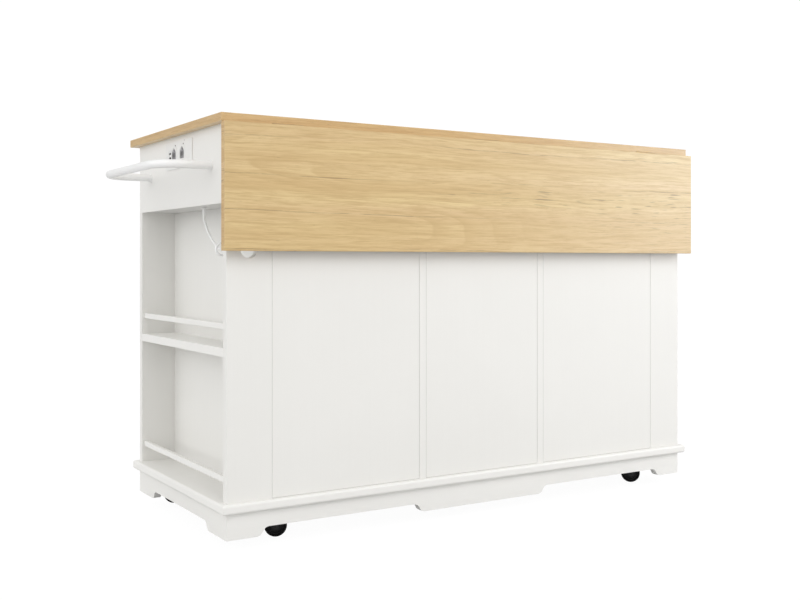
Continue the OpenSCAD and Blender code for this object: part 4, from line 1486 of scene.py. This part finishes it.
    def build_strap(self) -> Piece:
        """Makes the strap round the coil, with its lock and its free end.

        Returns:
            The strap.
        """
        wall, half = self.strap_wall, self.strap_width / 2
        near = self.coil_inner - self.diameter / 2 - self.strap_play - wall
        layer = self.coil_pitch * self.coil_turns / self.coil_layers
        far = near + layer + self.diameter + 2 * (self.strap_play + wall)
        up = (self.coil_layers - 1) * self.coil_rise + self.diameter + 2 * (self.strap_play_up + wall)
        band = Bench.box("band", mm(near, -half, 0), mm(far, half, up))
        Bench.round_along_y(band, self.strap_outer_round * MM, self.strap_steps)
        hole = Bench.box("hole", mm(near + wall, -2 * half, wall), mm(far - wall, 2 * half, up - wall))
        Bench.round_along_y(hole, self.strap_inner_round * MM, self.strap_steps)
        parts = [Bench.cut(band, hole)]
        for block in (self.strap_lock, self.strap_end):
            side = half + block.wider
            piece = Bench.box(
                "block", mm(near + block.start, -side, up + block.low), mm(near + block.stop, side, up + block.high)
            )
            parts.append(Bench.bevel(piece, block.rounding * MM))
        strap = Bench.join("lead_strap", parts)
        turn = Matrix.Rotation(math.radians(self.strap_turn), 4, "Z")
        strap.data.transform(Matrix.Translation(mm(*self.coil_middle, self.shelf)) @ turn)
        self.keep(Bench.settle(strap), PLASTIC_BLACK, "root", "black_plastic", "lead_tie")
        return strap

    def build_plug_body(self) -> Piece:
        """Makes the moulded plug: a ribbed boot on a softened body with grip rings.

        Returns:
            The plug without its blades.
        """
        start = mm(*self.plug)
        outline = [*self.boot_mouth, *self.boot_ribs.outline(), *self.boot_root]
        boot = Bench.lathe("boot", outline, start, Axis.MINUS_Y)
        width, length, height = self.body
        lo = start + mm(-width / 2, -self.boot - length, -height / 2)
        hi = start + mm(width / 2, -self.boot, height / 2)
        body = Bench.box("body", lo, hi)
        Bench.round_along_y(body, self.body_round * MM, self.body_steps)
        Bench.sink_rear(body, self.rear_rim * MM, self.rear_rise * MM)
        Bench.bevel(body, self.body_edge * MM, self.body_edge_steps, self.body_edge_angle)
        past, depth = self.past * MM, self.grip_depth * MM
        for step in range(self.grips):
            y = start.y - (self.boot + self.grip_from + self.grip_pitch * step) * MM
            groove = Bench.box(
                "groove", Vector((lo.x - past, y - self.grip_width * MM, lo.z - past)),
                Vector((hi.x + past, y, hi.z + past)),
            )
            core = Bench.box(
                "core", Vector((lo.x + depth, y - past, lo.z + depth)), Vector((hi.x - depth, y + past, hi.z - depth))
            )
            Bench.round_along_y(core, self.grip_round * MM, self.body_steps)
            Bench.cut(body, Bench.cut(groove, core))
        shell = Bench.settle(Bench.join("lead_plug_body", [body, boot]), TURNED)
        self.keep(shell, CABLE_WHITE, "root", "lead_white", "lead_plug")
        return shell

    def build_plug_blades(self) -> Piece:
        """Makes the plug's two flat blades and its round pin.

        Returns:
            The blades and the pin as one piece.
        """
        front = mm(*self.plug) - mm(0, self.boot + self.body[1], 0)
        blades = []
        for side in (-1, 1):
            middle = side * self.blade_gap / 2
            lo = mm(middle - self.blade_wall / 2, -self.blade_length, self.blade_low)
            hi = mm(middle + self.blade_wall / 2, self.blade_root, self.blade_high)
            blades.append(Bench.bevel(Bench.box("blade", front + lo, front + hi), self.blade_edge * MM))
        foot = front + mm(0, self.blade_root, self.pin_up)
        blades.append(Bench.lathe("pin", self.pin, foot, Axis.MINUS_Y, SMALL_TURN))
        prongs = Bench.settle(Bench.join("lead_plug_blades", blades))
        self.keep(prongs, BRASS, "root", "steel")
        return prongs

    def build_eye(self) -> None:
        """Makes the guide eye on the rear stile: ring, stem and screwed base."""
        x, y, z = self.eye_at
        Bench.deselect()
        bpy.ops.mesh.primitive_torus_add(
            major_segments=self.eye_steps[0], minor_segments=self.eye_steps[1], major_radius=self.eye_ring * MM,
            minor_radius=self.eye_wire * MM, location=mm(x, y, z), rotation=(math.pi / 2, 0, 0),
        )
        ring = Bench.named("ring")
        depth = self.back - y
        outline = [*self.eye_stem, *((radius, depth + rise) for radius, rise in self.eye_base)]
        stem = Bench.lathe("stem", outline, mm(x, y, z + self.eye_ring), Axis.Y)
        eye = Bench.settle(Bench.join("lead_guide_eye", [ring, stem]), TURNED)
        self.keep(eye, PLASTIC_BRIGHT, "root", "white_plastic", "lead_eye")

    def build(self) -> None:
        """Makes the lead and everything on it."""
        cable, start = self.build_cable()
        pieces = [self.build_gland(), self.build_strap(), self.build_plug_body(), self.build_plug_blades()]
        self.build_eye()


# ---------------------------------------------------------------- stage


@dataclass(frozen=True)
class Lamp:
    """A square area light.

    Attributes:
        name: its name.
        place: where it hangs, in metres.
        aim: the point that it faces, in metres.
        size: its side in metres.
        power: its watts.
        tint: its colour.
        mirrored: whether glossy surfaces show it.
    """

    name: str
    place: Point
    aim: Point
    size: float
    power: float
    tint: Point = NO_TINT
    mirrored: bool = True

    def hang(self) -> None:
        """Adds the light to the scene."""
        data = bpy.data.lights.new(self.name, "AREA")
        data.size = self.size
        data.energy = self.power
        data.color = self.tint
        lamp = bpy.data.objects.new(self.name, data)
        lamp.location = self.place
        lamp.visible_glossy = self.mirrored
        lamp.rotation_euler = (Vector(self.aim) - Vector(self.place)).to_track_quat("-Z", "Y").to_euler()
        bpy.context.scene.collection.objects.link(lamp)


@dataclass
class Studio:
    """Camera, lights and floor.

    Attributes:
        eye: the camera's place in metres.
        heading: the way it looks, level.
        lens: focal length in millimetres.
        sensor: width of the sensor in millimetres.
        horizon: shift that puts the horizon where the photograph has it.
        near: nearest distance that is seen, in metres.
        far: farthest distance that is seen, in metres.
        floor_size: side of the floor in metres.
        glow: share of the floor's white that no shadow falls on.
        bounce: share of the light that the floor throws back.
        patches: darkest and lightest tone of the floor's faint patches.
        patch_noise: scale and detail of those patches.
        matt: roughness of the floor.
        white: strength that shows as clean white.
        fill: strength of the even light from all round.
        wall_side: direction from which more soft light comes.
        wall: strength of that light.
        dimming: how much of the even light is kept out of reflections.
        lamps: the lights.
    """

    eye: Point = (1.4737, 2.2538, 0.5970)
    heading: Point = (-0.5311, -0.8473, 0.0)
    lens: float = 46.585
    sensor: float = 36.0
    horizon: float = -0.0479
    near: float = 0.05
    far: float = 200.0
    floor_size: float = 60.0
    glow: float = 0.94
    bounce: float = 0.64
    patches: tuple[float, float] = (0.97, 1.0)
    patch_noise: tuple[float, float] = (0.8, 3.0)
    matt: float = 0.9
    white: float = 1.03
    fill: float = 0.582
    wall_side: Point = (1.0, 0.0, 0.0)
    wall: float = 1.545
    dimming: float = 0.3
    lamps: tuple[Lamp, ...] = (
        Lamp("key", (0.3, 3.6, 3.2), (0.0, 0.2, 0.45), 3.0, 53.0, (1.0, 0.99, 0.97)),
        Lamp("right", (-4.3, 2.8, 1.8), (-0.2, 0.2, 0.5), 2.6, 96.0, (0.98, 0.99, 1.02)),
        Lamp("far", (-0.6, -4.4, 2.6), (0.0, -0.2, 0.45), 3.0, 85.0, mirrored=False),
    )

    def camera(self) -> None:
        """Adds the camera at the photograph's place."""
        data = bpy.data.cameras.new("camera")
        data.lens = self.lens
        data.sensor_width = self.sensor
        data.shift_y = self.horizon
        data.clip_start = self.near
        data.clip_end = self.far
        cam = bpy.data.objects.new("camera", data)
        cam.location = self.eye
        cam.rotation_euler = Vector(self.heading).to_track_quat("-Z", "Y").to_euler()
        bpy.context.scene.collection.objects.link(cam)
        bpy.context.scene.camera = cam

    def floor(self) -> None:
        """Adds the pale floor: nearly shadowless to the eye, and a duller grey to the light that it throws back."""
        Bench.deselect()
        bpy.ops.mesh.primitive_plane_add(size=self.floor_size)
        plane = bpy.context.object
        plane.name = "floor"
        made = bpy.data.materials.new("floor_white")
        made.use_nodes = True
        graph = NodeGraph(made.node_tree)
        shader = made.node_tree.nodes["Principled BSDF"]
        at = graph.add("TexCoord").outputs["Object"]
        patch = graph.span(graph.noise(at, *self.patch_noise), *SWING_RANGE, *self.patches)
        seen = graph.add("LightPath").outputs["Is Camera Ray"]
        grey = graph.math("MULTIPLY", patch, graph.span(seen, 0.0, 1.0, self.bounce, 1.0 - self.glow))
        tint = graph.add("CombineColor")
        for channel in tint.inputs:
            graph.wire(grey, channel)
        for name, value in (
            ("Base Color", tint.outputs[0]), ("Roughness", self.matt), ("Specular IOR Level", 0.0),
            ("Emission Color", (*NO_TINT, 1.0)),
            ("Emission Strength", graph.math("MULTIPLY", seen, self.glow * self.white)),
        ):
            graph.wire(value, shader.inputs[name])
        plane.data.materials.append(made)

    def world(self) -> None:
        """Fills the room with even white light, behind a white backdrop."""
        scene = bpy.context.scene
        scene.world = bpy.data.worlds.new("studio")
        scene.world.use_nodes = True
        graph = NodeGraph(scene.world.node_tree)
        back = scene.world.node_tree.nodes["Background"]
        back.inputs["Color"].default_value = (*NO_TINT, 1.0)
        facing = graph.add("VectorMath", operation="DOT_PRODUCT")
        graph.wire(graph.add("TexCoord").outputs["Generated"], facing.inputs[0])
        graph.wire(self.wall_side, facing.inputs[1])
        near = graph.math("POWER", graph.math("MAXIMUM", facing.outputs["Value"], 0.0), 2.0)
        glow = graph.math("ADD", graph.math("MULTIPLY", near, self.wall), self.fill)
        path = graph.add("LightPath").outputs
        seen = path["Is Camera Ray"]
        dimmed = graph.math("MULTIPLY", path["Is Glossy Ray"], self.dimming)
        hidden = graph.math("MULTIPLY", glow, graph.math("SUBTRACT", graph.math("SUBTRACT", 1.0, seen), dimmed))
        shown = graph.math("MULTIPLY", seen, self.white)
        graph.wire(graph.math("ADD", hidden, shown), back.inputs["Strength"])
        scene.view_settings.view_transform = "Standard"
        scene.view_settings.look = "None"

    def build(self) -> None:
        """Sets up floor and light."""
        self.floor()
        self.world()
        for lamp in self.lamps:
            lamp.hang()


# ---------------------------------------------------------------- fittings


@dataclass
class TowelRail(Assembly):
    """The bent bar on the end with the sockets, and its two flanges. Sizes in millimetres."""

    end: float = 652.5
    height: float = 800.0
    span: float = 388.0
    reach: float = 115.0
    bend: float = 60.0
    bend_steps: int = 18
    diameter: float = 18.0
    sides: int = 48
    flange: Outline = (
        (8.9, 0.0), (10.5, 0.0), (10.5, 2.0), (10.3, 2.5), (9.9, 2.85), (9.4, 3.0), (9.1, 2.9), (8.9, 2.6),
        (8.9, 0.0),
    )

    def bar(self) -> None:
        """Makes the tube: a ring drawn out, turned through two bends and drawn back."""
        side, leg = self.span / 2, self.reach - self.bend
        Bench.deselect()
        bpy.ops.mesh.primitive_circle_add(
            vertices=self.sides, radius=self.diameter / 2 * MM, location=mm(self.end, -side, self.height),
            rotation=(0, math.pi / 2, 0),
        )
        tube = Bench.named("towel_bar_tube")
        Bench.edit(True)
        bpy.ops.mesh.select_all(action="SELECT")
        self.draw(leg, 0)
        self.turn(-side + self.bend)
        self.draw(0, self.span - 2 * self.bend)
        self.turn(side - self.bend)
        self.draw(-leg, 0)
        Bench.weld(fill=True)
        Bench.edit(False)
        self.keep(Bench.settle(tube, TURNED), POWDER_WHITE, "root", "white_metal", "towel_bar")

    @staticmethod
    def draw(x: float, y: float) -> None:
        """Draws the open ring out by a level way in millimetres."""
        bpy.ops.mesh.extrude_region_move(TRANSFORM_OT_translate={"value": mm(x, y, 0)})

    def turn(self, y: float) -> None:
        """Turns the open ring through a quarter, round a bend whose middle is at a Y in millimetres."""
        middle = mm(self.end + self.reach - self.bend, y, self.height)
        bpy.ops.mesh.spin(steps=self.bend_steps, angle=-math.pi / 2, center=middle, axis=Axis.Z.value)

    def build(self) -> None:
        """Makes the bar and the flanges."""
        self.bar()
        for name, side in (("towel_flange_rear", 1), ("towel_flange_front", -1)):
            foot = mm(self.end, side * self.span / 2, self.height)
            ring = Bench.lathe(name, self.flange, foot, Axis.X, LARGE_TURN)
            self.keep(Bench.settle(ring, TURNED), POWDER_WHITE, "root", "white_metal", "towel_bar")


@dataclass
class Knobs(Assembly):
    """The turned knobs of drawers and doors. The outline is in millimetres."""

    outline: Outline = (
        (0, 0), (9, 0), (9, 1.2), (8.6, 1.8), (6.4, 2.1), (5.5, 2.7), (5.05, 4.0), (5, 9), (5.2, 11), (6.2, 13.2),
        (8.6, 15.4), (12.0, 16.9), (14.2, 17.9), (14.9, 19.0), (15, 20.4), (14.7, 21.6), (14.1, 22.4),
        (12.2, 23.5), (9.6, 24.5), (6.4, 25.35), (3.2, 25.84), (0, 26),
    )
    places: tuple[str, ...] = ("drawer_left", "drawer_middle", "drawer_right", "door_left", "door_right")

    def build(self) -> None:
        """Turns one knob for each drawer and door."""
        for body in self.places:
            lo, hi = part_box(body + "_knob")
            foot = Vector(((lo.x + hi.x) / 2, hi.y, (lo.z + hi.z) / 2))
            knob = Bench.lathe(body + "_pull", self.outline, foot, Axis.MINUS_Y, LARGE_TURN)
            self.keep(Bench.settle(knob, TURNED), NICKEL, body, "steel", body + "_knob")


@dataclass(frozen=True)
class CasterPlace:
    """Where a caster stands.

    Attributes:
        name: its name.
        x: X of its swivel axis in millimetres.
        y: Y of its swivel axis in millimetres.
        angle: the way it trails, in degrees from +X.
        braked: whether it has a brake pedal.
    """

    name: str
    x: float
    y: float
    angle: float
    braked: bool = False

    def matrix(self) -> Matrix:
        """Takes a piece made round the origin, trailing towards +X, to its place."""
        return Matrix.Translation(mm(self.x, self.y, 0)) @ Matrix.Rotation(math.radians(self.angle), 4, "Z")


CASTER_PLACES = (
    CasterPlace("rear_a", 528.5, 193, 155), CasterPlace("rear_b", -528.5, 193, 145),
    CasterPlace("front_a", 568.5, -203, -42, braked=True), CasterPlace("front_b", -568.5, -203, 180, braked=True),
)


@dataclass
class Casters(Assembly):
    """Tyres, hubs and rivets of the four casters. Sizes in millimetres.

    The outlines of a wheel's side hold points as (radius, depth below the side's face).
    """

    trail: float = 23.0
    radius: float = 25.0
    width: float = 20.0
    tyre_side: Outline = ((18.0, 2.8), (18.4, 2.2), (19.8, 0.2), (20.3, 0.0), (21.6, 0.2))
    tread_round: float = 3.0
    tread_inset: float = 1.0
    tread_arc: float = 75.0
    tread_steps: int = 12
    groove_step: int = 5
    groove: float = 0.6
    tyre_steps: int = 72
    smooth: float = 30.0
    hub_side: Outline = (
        (3.1, 0.0), (6.6, 0.0), (7.2, 0.5), (7.6, 3.0), (8.4, 5.0), (14.8, 5.4), (16.2, 4.4), (16.6, 3.0),
        (18.05, 2.8),
    )
    ribs: int = 5
    rib_lo: Point = (7.4, -7.4, -0.9)
    rib_hi: Point = (16.8, 7.4, 0.9)
    rib_edge: float = 0.4
    leg_face: float = 13.7
    dome: Outline = ((0, 0), (4.3, 0), (4.3, 0.4), (3.9, 1.0), (2.9, 1.55), (1.4, 1.85), (0, 1.95))
    brake_pin: Point = (37.5, 0.0, 52.4)
    brake_share: float = 0.72
    head_steps: int = 32

    def wheel_outline(self, side: Outline, tread: Outline | list = ()) -> list[tuple[float, float]]:
        """A closed outline that is the same on both sides of the wheel.

        Args:
            side: the side's points, from the axle out.
            tread: what lies between the two sides, if anything.

        Returns:
            Points as (radius, place along the axle).
        """
        half = self.width / 2
        near = [(radius, depth - half) for radius, depth in side]
        far = [(radius, half - depth) for radius, depth in reversed(side)]
        return [*near, *tread, *far, near[0]]

    def tread(self) -> list[tuple[float, float]]:
        """Rounds the tyre's tread, with a fine groove near each shoulder.

        Returns:
            Points as (radius, place along the axle).
        """
        points = []
        for step in range(-self.tread_steps, self.tread_steps + 1):
            angle = math.radians(step * self.tread_arc / self.tread_steps)
            radius = self.radius - self.tread_round + self.tread_round * math.cos(angle)
            reach = (self.width / 2 - self.tread_inset) / math.sin(math.radians(self.tread_arc))
            groove = self.groove if abs(step) == self.groove_step else 0.0
            points.append((radius - groove, reach * math.sin(angle)))
        return points

    def spokes(self, middle: Vector) -> list[Piece]:
        """The ribs across the web of a hub.

        Args:
            middle: the wheel's middle in metres.

        Returns:
            The ribs.
        """
        rib = Bench.bevel(Bench.box("rib", mm(*self.rib_lo), mm(*self.rib_hi)), self.rib_edge * MM)
        ribs = [
            Bench.copy(rib, "spoke", Matrix.Translation(middle) @ Matrix.Rotation(step * math.tau / self.ribs, 4, "Y"))
            for step in range(self.ribs)
        ]
        bpy.data.objects.remove(rib)
        return ribs

    def rivets(self, place: CasterPlace, middle: Vector) -> Piece:
        """Domed heads on the ends of the axle, and of the brake's pin where there is a brake.

        Args:
            place: the caster.
            middle: the wheel's middle before the caster is turned, in metres.

        Returns:
            The heads as one piece.
        """
        spots = [(middle, 1.0)]
        if place.braked:
            spots.append((mm(*self.brake_pin), self.brake_share))
        heads = []
        for spot, share in spots:
            outline = [(radius * share, height) for radius, height in self.dome]
            for axis, side in ((Axis.Y, 1), (Axis.MINUS_Y, -1)):
                foot = spot + mm(0, side * self.leg_face, 0)
                heads.append(Bench.lathe("head", outline, foot, axis, self.head_steps))
        return Bench.join(f"rivets_{place.name}", heads)

    def build(self) -> None:
        """Makes all four casters' new pieces."""
        middle = mm(self.trail, 0, self.radius)
        for place in CASTER_PLACES:
            name, wheel = place.name, f"wheel_{place.name}"
            outline = self.wheel_outline(self.tyre_side, self.tread())
            tyre = Bench.lathe(f"tyre_{name}", outline, middle, Axis.Y, self.tyre_steps)
            tyre.data.transform(place.matrix())
            self.keep(Bench.settle(tyre, self.smooth), TREAD, wheel, "black_rubber", f"caster_{name}_wheel")
            web = Bench.lathe("web", self.wheel_outline(self.hub_side), middle, Axis.Y, LARGE_TURN)
            hub = Bench.join(f"hub_{name}", [web, *self.spokes(middle)])
            hub.data.transform(place.matrix())
            self.keep(Bench.settle(hub, self.smooth), PLASTIC_BLACK, wheel, "black_plastic")
            rivets = self.rivets(place, middle)
            rivets.data.transform(place.matrix())
            self.keep(Bench.settle(rivets, TURNED), BLACK_METAL, f"fork_{name}", "black_metal")


@dataclass
class Screws(Assembly):
    """Cross-head screws in hinges and caster plates: one is made, the rest are copies. Sizes in millimetres."""

    head: Outline = ((0, 0), (3.0, 0), (2.94, 0.25), (2.4, 0.63), (1.5, 0.837), (0, 0.9))
    head_steps: int = 28
    cross: tuple[float, float] = (1.65, 0.39)
    cross_foot: float = 0.315
    cross_top: float = 2.0
    turn_step: float = 1.1
    flaps: Point = (-520.0, 0.0, 520.0)
    flap_screws: Point = (-26.0, 0.0, 26.0)
    flap_plate: tuple[float, float] = (284.0, 882.0)
    flap_leaf: float = 291.5
    flap_heights: Point = (856.0, 864.0, 856.0)
    door_hinges: tuple[float, float] = (164.0, 574.0)
    door_screws: Point = (10.0, 32.0, 54.0)
    door_face: float = -278.6
    door_plate: float = 558.0
    door_leaf: float = 541.0
    caster_plate: float = 63.5
    caster_pitch: float = 22.0
    pattern: list[Piece] = field(default_factory=list)

    def make_pattern(self) -> None:
        """Makes one low domed head with a cross recess, its foot at the origin and its top towards +Z."""
        screw = Bench.lathe("screw", self.head, Vector(), Axis.Z, self.head_steps)
        for x, y in (self.cross, self.cross[::-1]):
            Bench.cut(screw, Bench.box("slot", mm(-x, -y, self.cross_foot), mm(x, y, self.cross_top)))
        self.pattern.append(screw)

    def place(self, name: str, body: str, spots: list[Point], axis: Axis) -> None:
        """Puts a row of screws on a body.

        Args:
            name: the joined piece's name.
            body: the body that they ride on.
            spots: the feet of the heads.
            axis: the way that the heads face.
        """
        face = axis.vector.to_track_quat("Z", "Y").to_matrix().to_4x4()
        heads = [
            Bench.copy(
                self.pattern[0], f"{name}_{index}",
                Matrix.Translation(mm(*spot)) @ face @ Matrix.Rotation(index * self.turn_step, 4, "Z"),
            )
            for index, spot in enumerate(spots)
        ]
        self.keep(Bench.settle(Bench.join(name, heads), TURNED), ZINC, body, "steel")

    def door_row(self, side: int, x: float) -> list[Point]:
        """The feet of the screws on one door's side, x from the middle; side is -1 or 1."""
        return [(side * x, self.door_face, low + up) for low in self.door_hinges for up in self.door_screws]

    def build(self) -> None:
        """Makes the screws of all hinges and caster plates."""
        self.make_pattern()
        plate = [(x + along, *self.flap_plate) for x in self.flaps for along in self.flap_screws]
        self.place("flap_plate_screws", "root", plate, Axis.MINUS_Z)
        pairs = list(zip(self.flap_screws, self.flap_heights))
        leaf = [(x + along, self.flap_leaf, z) for x in self.flaps for along, z in pairs]
        self.place("flap_leaf_screws", "leaf", leaf, Axis.MINUS_Y)
        fixed = self.door_row(-1, self.door_plate) + self.door_row(1, self.door_plate)
        self.place("door_plate_screws", "root", fixed, Axis.MINUS_Y)
        for body, side in (("door_left", -1), ("door_right", 1)):
            self.place(f"{body}_screws", body, self.door_row(side, self.door_leaf), Axis.MINUS_Y)
        corners = [
            (place.x + a * self.caster_pitch, place.y + b * self.caster_pitch, self.caster_plate)
            for place in CASTER_PLACES for a in (-1, 1) for b in (-1, 1)
        ]
        self.place("caster_plate_screws", "root", corners, Axis.MINUS_Z)
        bpy.data.objects.remove(self.pattern.pop())


@dataclass(frozen=True)
class Strip:
    """A contact strip, in millimetres.

    Attributes:
        half: half its width.
        deep: how far behind the face it begins.
        near: how far behind the face it ends.
        low: its foot, from the middle's height.
        high: its top, from the middle's height.
        edge: width of its rounded edges.
    """

    half: float
    deep: float
    near: float
    low: float
    high: float
    edge: float

    def make(self, face: float, y: float, z: float) -> Piece:
        """Makes the strip.

        Args:
            face: X of the face that it lies behind, in millimetres.
            y: Y of its middle, in millimetres.
            z: the middle's height, in millimetres.

        Returns:
            The strip.
        """
        lo = mm(face - self.deep, y - self.half, z + self.low)
        hi = mm(face - self.near, y + self.half, z + self.high)
        return Bench.bevel(Bench.box("strip", lo, hi), self.edge * MM, 1)


@dataclass
class Outlets(Assembly):
    """What lies in and on the socket plate: contacts, port contacts and two dark dots. Sizes in millimetres."""

    face: float = 655.0
    insert_face: float = 654.5
    sockets: tuple[float, float] = (27.0, -25.0)
    slot_out: float = 6.35
    slot_wall: float = 0.85
    slot_middle: float = 840.0
    slot_strip: Strip = Strip(0.22, 7.9, 1.6, -3.6, 3.6, 0.12)
    ports: tuple[float, float] = (835.5, 845.5)
    port_y: float = -51.5
    port_pins: Point = (-3.75, -1.25, 1.25, 3.75)
    port_strip: Strip = Strip(0.5, 7.0, 1.8, 0.25, 0.5, 0.08)
    dots: tuple[tuple[float, float], ...] = ((36.0, 861.0), (-15.0, 861.0))
    dot: Outline = ((0, 0), (1.7, 0), (1.7, 0.35), (1.4, 0.6), (0, 0.7))

    def build(self) -> None:
        """Makes the contacts and the dots."""
        strips = [
            self.slot_strip.make(self.insert_face, y + side * self.slot_out + wall * self.slot_wall, self.slot_middle)
            for y in self.sockets for side in (-1, 1) for wall in (-1, 1)
        ]
        strips += [
            self.port_strip.make(self.insert_face, self.port_y + pin, z) for z in self.ports for pin in self.port_pins
        ]
        self.keep(Bench.settle(Bench.join("socket_contacts", strips)), BRASS, "root", "steel")
        rounds = [Bench.lathe("dot", self.dot, mm(self.face, y, z), Axis.X, SMALL_TURN) for y, z in self.dots]
        dots = Bench.settle(Bench.join("socket_plate_dots", rounds), TURNED)
        self.keep(dots, DARK_SLOT, "root", "grey_plastic")


# ---------------------------------------------------------------- CAD nodes


@dataclass
class Cabinet(Assembly):
    """Gives each CAD node of the frame its finish: the first row with a word of the node's name counts."""

    rows: tuple[tuple[tuple[str, ...], Finish], ...] = (
        (("drawer_left_box", "drawer_middle_box", "drawer_right_box"), DRAWER_WOOD),
        (("drop_leaf",), OAK_LEAF),
        (("worktop",), OAK),
        (("_box", "end_boxes"), WHITE_BOX),
        (("flap_hinge",), YELLOW_ZINC),
        (("hinges", "hinge_plates", "knob", "drawer_runners", "shelf_pins"), NICKEL),
        (("towel_bar",), POWDER_WHITE),
        (("socket_inserts",), PLASTIC_GREY),
        (("back_panels",), WHITE_BACK),
        (("socket_", "lead_gland", "lead_eye", "lead_plug"), PLASTIC_WHITE),
        (("lead_tie", "pedal"), PLASTIC_BLACK),
        (("lead_",), CABLE_WHITE),
        (("wheel",), TREAD),
        (("caster_plates",), ZINC),
        (("caster_blocks", "shelves", "rails", "slab", "skirt"), WHITE_LEVEL),
        (("caster_",), BLACK_METAL),
    )

    def finish(self, name: str) -> Finish:
        """The finish of one node.

        Args:
            name: the node's name.

        Returns:
            Its finish.
        """
        fitting = (finish for words, finish in self.rows if any(word in name for word in words))
        return next(fitting, WHITE_UPRIGHT)

    def build(self, nodes: dict[str, Piece]) -> None:
        """Dresses the nodes.

        Args:
            nodes: the frame's nodes by name.
        """
        for name, obj in nodes.items():
            Bench.dress(obj, self.finish(name))


def main() -> None:
    """Builds the scene in order."""
    logging.basicConfig(level=logging.INFO, format="%(message)s")
    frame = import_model()
    studio = Studio()
    studio.camera()
    Lead().build()
    Cabinet().build(frame["nodes"])
    for assembly in (TowelRail(), Knobs(), Casters(), Screws(), Outlets()):
        assembly.build()
    studio.build()


if __name__ == "__main__":
    main()
